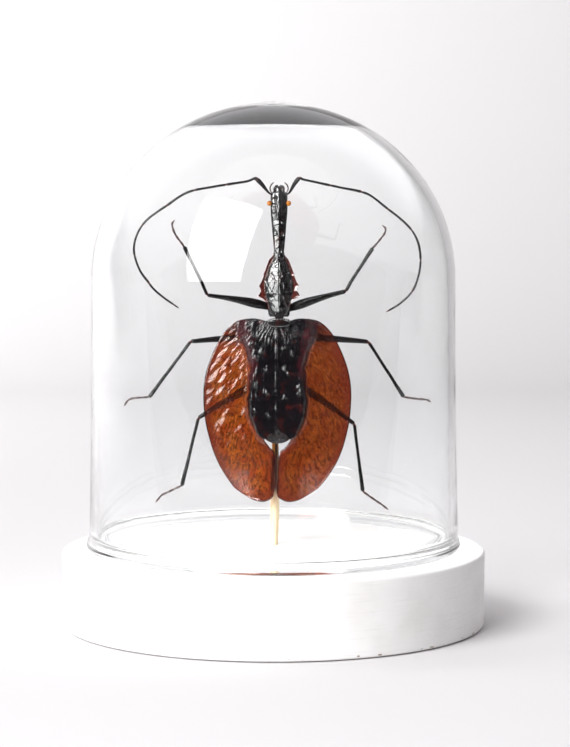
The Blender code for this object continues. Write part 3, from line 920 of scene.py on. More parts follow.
@dataclass
class WingCase(SubAssembly):
    """One wing case: a thin wide leaf with a raised, ribbed middle that covers the belly."""

    side: Side
    axis: float = 1.05
    seam_shift: float = 0.55
    thickness: float = 0.3
    lean: float = 0.045
    curl: float = 0.009
    cup: float = -0.9
    rows: int = 240
    columns: int = 190
    top: tuple = ((0.02, 82.2), (3.1, 82.5), (5.8, 83.1), (8.5, 83.05))
    outer: tuple = (
        (8.5, 83.05), (11.4, 82.2), (14.2, 79.8), (16.4, 76.3), (19.35, 68.8), (20.2, 61.3),
        (19.3, 52.9), (16.75, 44.5), (12.4, 37.4), (9.5, 34.9),
    )
    bottom: tuple = ((0.3, 35.3), (0.9, 33.8), (3.2, 32.7), (6.3, 33.15), (9.5, 34.9))
    inner: tuple = (
        (0.02, 82.2), (0.02, 68.0), (0.02, 54.2), (2.2, 51.4), (3.5, 49.9), (2.0, 47.6), (0.65, 46.0),
        (0.5, 40.0), (0.3, 35.3),
    )
    ridge: tuple = (
        (32.0, 4.0, 2.3), (49.0, 4.4, 2.3), (52.0, 6.2, 2.28), (56.0, 7.9, 2.25), (61.0, 8.3, 2.2),
        (66.0, 7.6, 2.2), (70.0, 7.5, 2.2), (74.0, 8.7, 2.25), (78.0, 10.2, 2.1), (83.0, 9.7, 1.4),
    )
    dark_edge: tuple = (
        (48.6, 0.0), (49.3, 2.3), (50.0, 3.8), (51.2, 5.5), (53.6, 6.9), (56.1, 7.85), (60.4, 8.25),
        (66.0, 7.6), (70.0, 7.6), (74.0, 8.8), (78.0, 10.4), (81.0, 11.6), (83.5, 11.0),
    )
    ribs: int = 13
    left_spots: tuple = (
        (4.4, 74.3), (5.6, 72.4), (2.9, 69.1), (6.7, 65.9), (5.8, 64.6), (2.8, 62.6), (6.2, 58.1),
        (2.3, 56.6), (3.6, 80.5), (4.9, 78.7), (8.8, 79.2), (6.7, 81.0), (7.3, 76.1), (6.0, 76.3),
    )
    right_spots: tuple = (
        (4.1, 73.4), (2.0, 69.2), (2.9, 67.9), (2.0, 74.6), (6.1, 63.0), (6.0, 64.0), (2.1, 61.4),
        (1.5, 51.0),
    )

    def flat_grid(self) -> tuple[np.ndarray, np.ndarray]:
        """The wing case's outline, filled and still flat.

        Returns:
            Distance from the middle line and height, as rows by columns.
        """
        grid = patch_between(
            smooth_route(self.top, self.columns),
            smooth_route(self.bottom, self.columns),
            smooth_route(self.inner, self.rows),
            smooth_route(self.outer, self.rows),
        )
        return grid[..., 0], grid[..., 1]

    def edge_distance(self, out: np.ndarray, height: np.ndarray) -> np.ndarray:
        """How far each point is from the wing case's edge: the least of the four straight ways.

        Args:
            out: Distance from the middle line.
            height: Height above the floor.

        Returns:
            Distances in millimetres.
        """
        whole, last, first = slice(None), slice(-1, None), slice(0, 1)
        ends = ((whole, last), (last, whole), (whole, first), (first, whole))
        ways = [np.hypot(out - out[e], height - height[e]) for e in ends]
        return np.minimum.reduce(ways)

    def fan(self, out: np.ndarray, height: np.ndarray) -> tuple[np.ndarray, np.ndarray]:
        """Polar coordinates around the shoulder, which the wrinkles follow.

        Args:
            out: Distance from the middle line.
            height: Height above the floor.

        Returns:
            Reach from the point 3 mm out at height 84, and the turn around it times 20 mm.
        """
        across, down = out - 3.0, 84.0 - height
        return np.hypot(across, down), 20.0 * np.arctan2(across, down)

    def relief(self, out: np.ndarray, height: np.ndarray, middle: np.ndarray, edge: np.ndarray) -> np.ndarray:
        """How far each point stands out towards the viewer.

        The sum of: the raised middle, which falls from 0.84 to 1.1 of its half width; ribs, a cosine
        of that share, deep around the knobs and faint elsewhere; streaks that spray out from the top,
        a cosine of the angle; the ridge along the seam; small knobs; the bend of the outer part, which
        grows with the square of the way out; wrinkles, fan noise that is long along the reach; and the
        soft dents of a leaf that dried.

        Args:
            out: Distance from the middle line.
            height: Height above the floor.
            middle: How far a point belongs to the dark middle, from 0 to 1.
            edge: Distance from the edge.

        Returns:
            Heights in millimetres.
        """
        table = np.array(self.ridge)
        half = np.interp(height, table[:, 0], table[:, 1])
        rise = np.interp(height, table[:, 0], table[:, 2])
        share = out / half
        dome = rise * ease(1.1, 0.84, share) * ease(48.8, 50.4, height)
        left = self.side is Side.LEFT
        places = self.left_spots if left else self.right_spots
        seed = 21 if left else 22
        patch = np.clip(spots(out, height, places, 0.95, 1.3), 0, 1)
        broken = 0.6 + 0.7 * grain(out / 0.5, height / 1.6, 35)
        ribs = (0.009 + 0.036 * patch) * broken * np.cos(TAU * share * self.ribs) * ease(0.5, 1.2, out)
        spray = np.arctan2(out, 85.5 - height)
        streaks = 0.07 * np.cos(spray * 52.0 + 1.5 * grain(out, height / 2.0, 37)) * ease(75.6, 77.4, height)
        streaks = streaks * ease(5.6, 4.4, out) * (0.4 + 0.8 * grain(spray * 9.0, height / 1.1, 38))
        streaks = streaks * ease(0.3, 0.9, out)
        ridge = 0.14 * np.exp(-((out / 0.55) ** 4))
        aside, lift = 0.3 * grain(out / 0.6, height / 0.8, 39), 0.4 * grain(out / 0.7, height / 0.9, 40)
        bent = (out + aside, height + lift)
        knobs = spots(*bent, places, 0.62, 0.30) * (0.75 + 0.5 * grain(out / 0.4, height / 0.9, 34))
        pits = 0.010 * grain(out / 0.5, height / 0.7, seed + 3)
        pits = pits + 0.05 * grain(out / 1.5, height / 2.0, seed + 4)
        cup = np.clip((out - half) / (20.0 - half), 0, 1) ** 2 * self.cup
        reach, turn = self.fan(out, height)
        size = 1.1 if left else 0.62
        wrinkles = 0.7 * grain(reach / 2.4 / size + 3, turn / 0.95 / size + 60, seed)
        wrinkles += 0.3 * grain(reach / 1.2 / size, turn / 0.5 / size + 60, seed + 7)
        wrinkles *= (0.23 if left else 0.12) * (ease(42.0, 56.0, height) * 0.8 + 0.2) * ease(0.2, 1.4, edge)
        dents = 0.20 * grain(out / 6.0 + 9, height / 7.0, seed + 1) * ease(0.0, 3.0, edge)
        rim = 0.10 * np.exp(-(((edge - 0.45) / 0.3) ** 2))
        leaf = wrinkles * np.maximum(1 - middle, ease(0.62, 0.85, share)) + (dents + rim) * (1 - middle)
        return dome + (ribs + streaks + ridge + knobs + pits) * middle + cup + leaf

    def build(self) -> None:
        """Makes the leaf and its masks: dark middle, flank, margin, rim and shoulder.

        The lower lobes curl away from the viewer, by curl times the square of the way below 47.
        """
        out, height = self.flat_grid()
        edge = self.edge_distance(out, height)
        table = np.array(self.dark_edge)
        half = np.interp(height, table[:, 0], table[:, 1])
        ragged = 0.25 * grain(out / 0.7, height / 0.9, 31) + 0.3 * grain(out / 2.0, height / 2.4, 32)
        middle = ease(-0.35, 0.35, half - out + ragged * ease(54.0, 64.0, height)) * ease(48.4, 49.2, height)
        shoulder = 0.9 * ease(74.0, 80.5, height) * ease(16.0, 11.0, out)
        shoulder = shoulder * (0.85 + 0.15 * grain(out, height, 33))
        core = half - 2.6 * ease(60.0, 72.0, height) - 1.2 * ease(74.0, 80.0, height)
        flank = ease(-0.5, 0.9, out - core + 0.8 * grain(out / 0.9, height / 1.6, 36))
        flank = flank * ease(58.0, 68.0, height)
        stand = self.relief(out, height, middle, edge)
        low = np.clip((50.0 - height) / 15.0, 0, 1)
        shift = self.seam_shift * low * low * (3 - 2 * low) * np.clip(1 - out / 18.0, 0, 1)
        x = self.axis + self.side.value * out - shift
        depth = self.thickness * np.clip(edge / 0.35 + 0.15, 0, 1) ** 0.5 * (1 + middle)
        curl = self.curl * np.clip(47.0 - height, 0, None) ** 2 * ease(4.0, 10.0, out)
        front = np.stack([x, self.lean * (height - 60.0) + curl - stand, height], axis=-1)
        back = front + np.stack([0 * depth, depth, 0 * depth], axis=-1)
        reach, turn = self.fan(out, height)
        surface = Surface.from_sheet(
            front, back, middle=middle, shoulder=np.clip(shoulder, 0, 1),
            margin=0.75 * ease(3.6, 0.6, edge), rim=ease(0.5, 0.2, edge) * (1 - middle), flank=flank,
            # darker brown share: 0.1 on the left wing case, 0.55 on the right
            browned=np.full_like(out, 0.1 if self.side is Side.LEFT else 0.55),
            fan_reach=reach, fan_turn=turn,
        )
        name = self.side.label + "_wing_case"
        self.place(surface.piece(self.side.label + "_wing_leaf", LEAF), Slot.AMBER, name)


def flattened_rings(
    profile: object,
    middle: tuple[float, float],
    front: float,
    back: float,
    roof: float,
    rows: int,
    sides: int,
) -> tuple[np.ndarray, np.ndarray, np.ndarray]:
    """Rings of a body part that is flat and roof-shaped in front and rounded behind.

    Across, x is half width times cos a, squared off a little. In front, y is minus the half width
    times (front times the square root of |sin a| plus roof times (1 - |x| share)), and behind it is
    the half width times back times |sin a|.

    Args:
        profile: Rows of height and half width, from bottom to top.
        middle: The part's middle in x and y.
        front: Depth in front as a share of the half width.
        back: Depth behind as a share of the half width.
        roof: Slope of both front flanks.
        rows: How many rings.
        sides: Points of a ring.

    Returns:
        The rings, and the angle and half width at each point.
    """
    line = smooth_route([(0.0, w, h) for h, w in profile], rows)
    width, height = np.maximum(line[:, 1:2], 0.0), line[:, 2:3]
    a = np.linspace(0, TAU, sides, endpoint=False)[None]
    cos, sin = np.cos(a), np.sin(a)
    x = width * np.sign(cos) * np.abs(cos) ** 0.8
    ahead = -width * (front * np.abs(sin) ** 0.5 + roof * (1 - np.abs(cos) ** 0.8))
    behind = width * back * np.abs(sin) ** 0.8
    y = np.where(sin < 0, ahead, behind)
    rings = np.stack([middle[0] + x, middle[1] + y, height + 0 * a], axis=-1)
    return rings, np.broadcast_to(a, x.shape), np.broadcast_to(width, x.shape)


@dataclass
class Trunk(SubAssembly):
    """Neck ring, chest below the pronotum, waist, collar and belly."""

    front_axis: float = 1.5
    wing_axis: float = 1.05
    neck: tuple = ((100.1, 1.0), (100.2, 1.45), (100.45, 1.62), (100.7, 1.45), (100.8, 1.0))
    chest: tuple = ((85.6, 0.3), (85.9, 2.0), (88.5, 3.4), (92.0, 3.6), (96.0, 2.7), (98.4, 1.2), (98.8, 0.3))
    waist: tuple = ((83.0, 1.0), (83.6, 1.45), (84.4, 1.4), (85.0, 1.3), (85.2, 1.0))
    collar: tuple = ((80.9, 1.2), (81.2, 2.6), (82.2, 3.15), (83.0, 2.7), (83.3, 1.4))
    belly: tuple = (
        (48.5, 0.3), (48.8, 1.8), (50.0, 3.6), (53.5, 5.6), (58.0, 7.0), (64.0, 7.0), (70.0, 6.6), (76.0, 7.4),
        (80.0, 6.4), (82.4, 3.0), (82.6, 0.5),
    )

    def belly_surface(self) -> Surface:
        """The belly: flat in front, below the wing cases, and rounded behind with its plates.

        Each plate is some 4.6 mm long and steps down by 0.12 mm at its lower edge, a saw-tooth of
        the height.

        Returns:
            The closed belly.
        """
        rings, a, width = flattened_rings(self.belly, (self.wing_axis, 1.75), 0.10, 0.26, 0.0, 150, 72)
        step = (rings[..., 2] / 4.6) % 1.0
        plate = 0.12 * (step - 0.5) * ease(0.0, 0.3, np.sin(a)) * ease(0.5, 2.0, width)
        rings[..., 1] += plate
        return Surface.from_rings(rings, joint=ease(0.14, 0.0, step) * 0.6)

    def build(self) -> None:
        """Makes the five pieces of the trunk."""
        x = self.front_axis
        rings, _, _ = flattened_rings(self.neck, (x, -0.2), 0.75, 0.75, 0.0, 14, 40)
        self.place(Surface.from_rings(rings).piece("neck", RED_BROWN), Slot.RED_BROWN, "neck_ring")
        rings, a, _ = flattened_rings(self.chest, (x, 1.7), 0.3, 0.32, 0.0, 90, 56)
        rings[..., 1] += 0.08 * grain(a * 3, rings[..., 2] / 1.2, 41) * ease(0.0, 0.4, np.sin(a))
        self.place(Surface.from_rings(rings).piece("chest", BLACK), Slot.BLACK, "prothorax")
        rings, _, _ = flattened_rings(self.waist, (x, 1.9), 0.8, 0.8, 0.0, 20, 40)
        self.place(Surface.from_rings(rings).piece("waist_joint", RED_BROWN), Slot.RED_BROWN, "waist")
        rings, a, width = flattened_rings(self.collar, (x, -2.6), 0.16, 0.16, 0.0, 60, 96)
        ribs = 0.06 * np.cos(rings[..., 0] * TAU / 0.55) * ease(0.1, -0.3, np.sin(a)) * ease(0.8, 2.0, width)
        rings[..., 1] -= ribs
        self.place(Surface.from_rings(rings).piece("collar_plate", BLACK), Slot.BLACK, "collar")
        self.place(self.belly_surface().piece("belly", SATIN), Slot.BLACK, "abdomen")


@dataclass
class Pronotum(SubAssembly):
    """The plate behind the head: a raised roof-shaped disc in a thin leaf with toothed margins."""

    axis: float = 1.5
    depth: float = -0.3
    disc: tuple = (
        (83.6, 2.6), (87.7, 3.1), (90.0, 3.7), (92.5, 3.85), (95.0, 3.2), (97.4, 2.5), (99.0, 1.6),
        (100.2, 1.2),
    )
    lean: float = 0.10
    rows: int = 220
    columns: int = 130
    edge: tuple = (
        (83.6, 2.5), (84.3, 2.9), (86.8, 3.1), (87.7, 3.5), (88.5, 4.4), (89.0, 5.3), (89.3, 5.7),
        (89.9, 5.35), (90.5, 4.9), (91.2, 5.1), (91.7, 5.4), (92.3, 5.05), (92.8, 4.75), (94.4, 4.15),
        (94.8, 4.3), (95.2, 4.0), (96.3, 3.6),
        (98.8, 2.6), (99.9, 1.6), (100.2, 1.45),
    )

    def build(self) -> None:
        """Makes the plate.

        Across, x is the edge's half width times a share from -1 to 1. The disc stands out by 0.75
        times the root of (1.08 - x² - z⁴, in shares of its own half width and height), plus a roof that
        falls by 0.24 for each millimetre from the middle line. A furrow runs along the middle, and pits
        and shallow creases cover it.
        """
        table = np.array(self.edge)
        height = np.linspace(100.2, 83.6, self.rows)[:, None]
        half = np.interp(height, table[:, 0], table[:, 1])
        share = np.linspace(-1, 1, self.columns)[None]
        x = half * share
        z = height + 0 * x
        oval = np.array(self.disc)
        disc = np.interp(z, oval[:, 0], oval[:, 1])
        inside = np.clip(1.08 - (x / disc) ** 2 - ((z - 91.8) / 9.2) ** 4, 0, 1)
        roof = 0.24 * np.clip(disc - np.abs(x), 0, 3.8) * ease(-0.5, 0.35, inside)
        furrow = -0.10 * np.exp(-((x / 0.16) ** 2)) * ease(85.5, 87.0, z) * ease(99.0, 97.5, z)
        pits = -0.30 * np.clip(grain(x / 0.5 + 30, z / 0.8, 51) - 0.2, 0, 1)
        pits = pits - 0.05 * grain(x / 1.3 + 30, z / 1.2, 52)
        creased = (z + 0.6 * grain(x / 1.2 + 30, z / 1.5, 53)) / 2.2
        shingle = 0.07 * (creased.astype(int) + 1 - creased)
        stand = 0.75 * inside**0.5 + roof + furrow + (pits + shingle) * ease(0.0, 0.3, inside)
        edge = half * (1 - np.abs(share))
        margin = ease(0.05, 0.0, inside) * ease(85.0, 87.5, z) + 0 * x
        stand += 0.25 * margin * ease(0.9, 0.0, edge)
        front = np.stack([self.axis + x, self.depth - stand + self.lean * (z - 88.0), z], axis=-1)
        depth = 0.4 * np.clip(edge / 0.3 + 0.15, 0, 1) ** 0.5
        back = front + np.stack([0 * x, depth, 0 * x], axis=-1)
        surface = Surface.from_sheet(front, back, joint=margin)
        self.place(surface.piece("neck_shield", BLACK), Slot.BLACK, "pronotum")


@dataclass
class Head(SubAssembly):
    """The long head with its eyes, jaws and palps."""

    axis: float = 1.5
    depth: float = -0.3
    lean: float = 0.10
    profile: tuple = (
        (99.0, 1.2), (100.0, 1.38), (101.2, 1.42), (103.4, 1.6), (107.5, 1.95), (110.5, 2.2), (112.5, 2.3),
        (113.4, 2.3), (114.6, 2.3), (115.9, 2.3), (116.7, 2.15), (117.2, 1.6), (118.0, 1.4), (118.5, 1.0),
        (118.7, 0.4),
    )
    eye_radius: float = 0.66
    eye_offset: float = 2.6
    eye_height: float = 114.0
    eye_depth: float = -0.95
    jaw: tuple = (
        (1.0, 0.2, 117.0, 0.5), (1.15, 0.1, 118.0, 0.42), (0.85, 0.0, 118.6, 0.28), (0.2, 0.0, 118.9, 0.10),
    )
    palp: tuple = (
        (1.6, 0.6, 116.4, 0.16), (2.15, 0.5, 117.2, 0.15), (2.35, 0.4, 118.0, 0.17), (2.1, 0.3, 118.8, 0.19),
        (1.6, 0.2, 119.4, 0.15), (1.3, 0.2, 119.6, 0.08),
    )

    def skull(self) -> Surface:
        """The head's own capsule, with pits, two furrows between the eyes and a raised middle edge.

        Shallow creases cross it, a saw-tooth of the height with a wavering step of some 1.5 mm.

        Returns:
            The closed surface.
        """
        rings, a, width = flattened_rings(self.profile, (self.axis, self.depth), 0.34, 0.5, 0.26, 190, 96)
        x, z = rings[..., 0] - self.axis, rings[..., 2].copy()
        ahead = ease(-0.1, -0.5, np.sin(a))
        creased = (z + 0.5 * grain(x / 0.9 + 50, z / 1.1, 63)) / 1.5
        shingle = 0.07 * (creased.astype(int) + 1 - creased)
        furrow = -0.16 * np.exp(-(((np.abs(x) - 0.85) / 0.22) ** 2))
        furrow = furrow * ease(108.5, 110.5, z) * ease(116.5, 115.0, z)
        pits = -0.30 * np.clip(grain(x / 0.5 + 50, z / 0.8, 61) - 0.2, 0, 1)
        pits = pits + 0.04 * grain(x / 1.1 + 50, z / 1.5, 62)
        seam = -0.16 * np.exp(-(((z - 117.1) / 0.14) ** 2)) - 0.12 * np.exp(-(((z - 100.3) / 0.2) ** 2))
        rings[..., 1] -= ahead * (furrow + pits + seam + shingle) * ease(0.3, 0.9, width)
        rings[..., 1] += self.lean * (z - 109.0)
        return Surface.from_rings(rings)

    def eye(self, side: Side) -> Surface:
        """A round eye: radius times (cos, sin) rings from pole to pole, as a stack along Z.

        Args:
            side: Which eye.

        Returns:
            The closed eye.
        """
        lift = np.linspace(-math.pi / 2, math.pi / 2, 34)[1:-1, None]
        a = np.linspace(0, TAU, 48, endpoint=False)[None]
        r = self.eye_radius
        x = self.axis + side.value * self.eye_offset + r * np.cos(lift) * np.cos(a)
        y = self.eye_depth + 0.9 * r * np.cos(lift) * np.sin(a)
        z = self.eye_height + 1.08 * r * np.sin(lift) + 0 * a
        return Surface.from_rings(np.stack([x, y, z], axis=-1))

    def build(self) -> None:
        """Makes the capsule, the eyes, the jaws and the palps."""
        self.place(self.skull().piece("head_capsule", BLACK), Slot.BLACK, "head")
        for side in Side:
            name = side.label
            self.place(self.eye(side).piece(name + "_compound_eye", EYE), Slot.EYE, name + "_eye")
            mirror = np.array([side.value, 1, 1, 1])
            jaw = smooth_route(np.array(self.jaw) * mirror + (self.axis, 0, 0, 0), 40)
            palp = smooth_route((np.array(self.palp) + (0.1, 0, 0, 0)) * mirror + (self.axis, 0, 0, 0), 40)
            self.place(tube(jaw, 24).piece(name + "_jaw", BLACK), Slot.BLACK, name + "_mandible")
            self.place(tube(palp, 16).piece(name + "_mouth_palp", RED_BROWN), Slot.RED_BROWN, name + "_palp")


@dataclass
class Antenna(SubAssembly):
    """One feeler: a club-shaped first joint and then long thin ones."""

    side: Side
    left: tuple = (
        (-0.3, -0.3, 116.2, 0.24), (-1.35, -0.5, 116.9, 0.3), (-3.0, -0.9, 118.9, 0.55),
        (-4.4, -1.1, 120.3, 0.62), (-5.2, -1.2, 120.6, 0.35),
        (-7.6, -1.3, 119.8, 0.30), (-15.5, -1.6, 118.5, 0.28), (-23.2, -1.8, 116.9, 0.28),
        (-29.0, -2.0, 113.2, 0.27), (-34.3, -2.0, 109.3, 0.27), (-37.0, -1.9, 105.3, 0.27),
        (-37.7, -1.7, 101.0, 0.26), (-36.3, -1.4, 96.3, 0.26), (-33.4, -1.1, 92.2, 0.25),
        (-29.5, -0.8, 88.7, 0.24), (-25.6, -0.5, 85.9, 0.18),
    )
    right: tuple = (
        (3.2, -0.3, 116.2, 0.24), (4.3, -0.5, 116.9, 0.3), (5.6, -0.9, 119.1, 0.55),
        (6.6, -1.1, 120.4, 0.62), (7.3, -1.2, 120.7, 0.35),
        (8.6, -1.3, 120.2, 0.30), (16.8, -1.6, 118.5, 0.28), (25.1, -1.8, 116.5, 0.28),
        (30.6, -2.0, 112.7, 0.27), (35.7, -2.0, 108.5, 0.27), (38.5, -1.9, 104.8, 0.27),
        (39.7, -1.7, 100.5, 0.26), (39.6, -1.4, 96.0, 0.26), (38.0, -1.1, 91.2, 0.25),
        (34.6, -0.8, 87.4, 0.24), (30.5, -0.5, 84.8, 0.18),
    )
    joint_length: float = 8.6
    first_joints: float = 6.0

    def build(self) -> None:
        """Carries a round profile along the route.

        Past the club, the radius is 1.15 of the table's, swells by a quarter towards the end of each
        joint and pinches by three tenths where two meet. The pinch is red-brown.
        """
        way = smooth_route(self.left if self.side is Side.LEFT else self.right, 520)
        travel = np.concatenate([[0], np.cumsum(np.linalg.norm(np.diff(way[:, :3], axis=0), axis=1))])
        share = ((travel - self.first_joints) / self.joint_length) % 1.0
        past = travel > self.first_joints
        pinch = np.exp(-((np.minimum(share, 1 - share) * self.joint_length / 0.28) ** 2)) * past
        way[:, 3] *= np.where(past, 1.15 + 0.25 * share**6, 1.0) * (1 - 0.3 * pinch)
        way[-6:, 3] *= np.linspace(1.0, 0.25, 6)
        surface = tube(way, 16, joint=np.clip(pinch, 0, 1))
        name = self.side.label + "_antenna"
        self.place(surface.piece(self.side.label + "_feeler", LEG_BLACK), Slot.BLACK, name)


@dataclass
class Leg(SubAssembly):
    """One leg: thigh, shin and a foot of five small joints that ends in two claws."""

    name: str
    joints: tuple
    thigh_radii: tuple = (0.75, 1.15, 1.0, 0.78, 0.55)
    shin_radii: tuple = (0.46, 0.42, 0.42, 0.48, 0.56)
    foot_radii: tuple = (0.22, 0.32, 0.24, 0.32, 0.24, 0.32, 0.22, 0.30, 0.12)

    def span(
        self, start: np.ndarray, end: np.ndarray, trim: tuple[float, float], radii: tuple, sag: float
    ) -> np.ndarray:
        """A gently bowed way between two joints: the straight line plus sag times 4 s (1 - s) in Z.

        Args:
            start: Where the line starts.
            end: Where it ends.
            trim: How much each end is drawn in.
            radii: Radii, evenly spaced along it.
            sag: How far its middle is lifted.

        Returns:
            Rows of x, y, z and radius.
        """
        way = (end - start) / np.linalg.norm(end - start)
        a, b = start + way * trim[0], end - way * trim[1]
        share = np.linspace(0, 1, len(radii))
        line = np.outer(1 - share, a) + np.outer(share, b)
        line[:, 2] += sag * 4 * share * (1 - share)
        return np.column_stack([line, radii])

    def rounded(self, way: np.ndarray, reach: float) -> np.ndarray:
        """Rounds both ends: the radius follows a quarter circle over the last reach millimetres.

        Args:
            way: Rows of x, y, z and radius.
            reach: Length of each rounded end.

        Returns:
            The same rows with the ends drawn in.
        """
        travel = np.concatenate([[0], np.cumsum(np.linalg.norm(np.diff(way[:, :3], axis=0), axis=1))])
        near = np.clip(np.minimum(travel, travel[-1] - travel) / reach, 0.02, 1)
        way[:, 3] *= np.sqrt(1 - (1 - near) ** 2)
        return way

    def thigh(self, root: np.ndarray, knee: np.ndarray) -> Surface:
        """The thigh: a club that is widest a quarter of the way out.

        Args:
            root: Where it leaves the body.
            knee: Where it meets the shin.

        Returns:
            The closed surface.
        """
        way = smooth_route(self.span(root, knee, (-3.0, -0.1), self.thigh_radii, 0.3), 90)
        share = np.linspace(0, 1, 90)
        return tube(self.rounded(way, 0.6), 28, 0.8, joint=ease(0.97, 1.0, share))

    def shin(self, knee: np.ndarray, end: np.ndarray) -> Surface:
        """The shin, with two rows of short stiff spines along it and two spurs at its end.

        Args:
            knee: Where it starts.
            end: Where the foot starts.

        Returns:
            The closed surface with its spines.
        """
        way = smooth_route(self.span(knee, end, (0.0, -0.1), self.shin_radii, 0.0), 90)
        share = np.linspace(0, 1, 90)
        shaft = tube(self.rounded(way, 0.45), 20, joint=ease(0.05, 0.0, share) * 0.9)
        along = (end - knee) / np.linalg.norm(end - knee)
        sideways = np.cross(along, (0.0, 1.0, 0.0))
        picks = np.arange(14, 86, 5)
        roots = np.vstack([way[picks, :3] + sideways * way[picks, 3:] * s for s in (-0.8, 0.8)])
        ways = np.vstack([np.tile(along + sideways * s, (len(picks), 1)) for s in (-0.9, 0.9)])
        tip = way[-4, :3]
        spurs = bristles(
            np.vstack([tip, tip]) + np.array([[0, -0.1, 0], [0, 0.25, 0]]),
            np.vstack([along + 0.35 * sideways, along + 0.5 * sideways]), 1.1, 0.13,
        )
        return shaft.joined(bristles(roots, ways, 0.55, 0.06), spurs)

    def foot(self, shin_end: np.ndarray, ankle: np.ndarray, toe: np.ndarray, claw: np.ndarray) -> Surface:
        """The foot: five beads, the last with two curved claws, and fine hairs below each bead.

        Args:
            shin_end: Where the shin ends.
            ankle: The middle of the foot.
            toe: The last bead.
            claw: The tip of the claws.

        Returns:
            The closed surface with its claws and hairs.
        """
        way = (ankle - shin_end) / np.linalg.norm(ankle - shin_end)
        line = smooth_route(np.vstack([shin_end + way * 0.05, ankle, toe, claw]), len(self.foot_radii))
        beads = smooth_route(np.column_stack([line, self.foot_radii]), 110)
        beads = self.rounded(beads, 0.25)
        picks = np.arange(8, 100, 3)
        down = np.tile((0.3 * (1 if ankle[0] < 0 else -1), 0.5, -0.8), (len(picks), 1))
        hairs = bristles(beads[picks, :3] + (0, 0.05, -0.12), down, 0.5, 0.035)
        end = line[-2]
        hook = (line[-1] - line[-2]) / np.linalg.norm(line[-1] - line[-2])
        claws = [
            tube(smooth_route(np.column_stack([
                end + np.outer((0.0, 0.5, 0.95, 1.2), hook) + np.outer((0.0, 0.25, 0.4, 0.3), (0, s, 0.2)),
                (0.14, 0.12, 0.08, 0.03),
            ]), 16), 8, joint=np.full(16, 0.6))
            for s in (-1.0, 1.0)
        ]
        return tube(beads, 16, joint=np.zeros(110)).joined(hairs, *claws)

    def build(self) -> None:
        """Makes the thigh, the shin and the foot."""
        root, knee, end, ankle, toe, claw = (np.array(p) for p in self.joints)
        thigh = self.thigh(root, knee).piece(self.name + "_thigh", LEG_BLACK)
        self.place(thigh, Slot.BLACK, self.name + "_femur")
        shin = self.shin(knee, end).piece(self.name + "_shin", LEG_BLACK)
        self.place(shin, Slot.BLACK, self.name + "_tibia")
        foot = self.foot(end, ankle, toe, claw)
        self.place(foot.piece(self.name + "_foot", RED_BROWN), Slot.RED_BROWN, self.name + "_tarsus")


LEG_JOINTS = {
    "left_fore": ((-3.6, 3.4, 86.6), (-18.0, 2.4, 89.4), (-24.2, 1.4, 102.2), (-26.7, 1.7, 105.6),
                  (-27.5, 2.1, 108.2), (-26.9, 2.5, 109.4)),
    "right_fore": ((6.6, 3.4, 86.4), (19.7, 2.4, 90.4), (26.9, 1.4, 101.8), (30.0, 1.7, 105.6),
                   (30.4, 2.1, 107.2), (29.7, 2.5, 107.9)),
    "left_mid": ((-3.5, 4.1, 77.6), (-22.6, 3.0, 76.6), (-33.9, 1.6, 61.4), (-37.7, 1.8, 61.1),
                 (-39.7, 2.2, 60.5), (-41.0, 2.8, 58.8)),
    "right_mid": ((5.6, 4.1, 77.6), (25.9, 3.0, 76.5), (35.6, 1.6, 61.4), (39.0, 1.8, 60.9),
                  (42.0, 2.2, 60.5), (43.3, 2.8, 59.8)),
    "left_hind": ((-2.6, 4.1, 66.0), (-20.6, 3.2, 55.4), (-25.1, 2.2, 36.8), (-28.8, 2.4, 35.0),
                  (-30.8, 2.6, 34.0), (-32.4, 3.0, 31.9)),
    "right_hind": ((4.7, 4.1, 66.0), (22.1, 3.2, 53.8), (24.5, 2.2, 35.2), (27.4, 2.4, 33.0),
                   (30.0, 2.6, 31.2), (31.5, 3.0, 29.9)),
}
FORE_THIGH = (0.95, 1.3, 1.0, 0.68, 0.52)


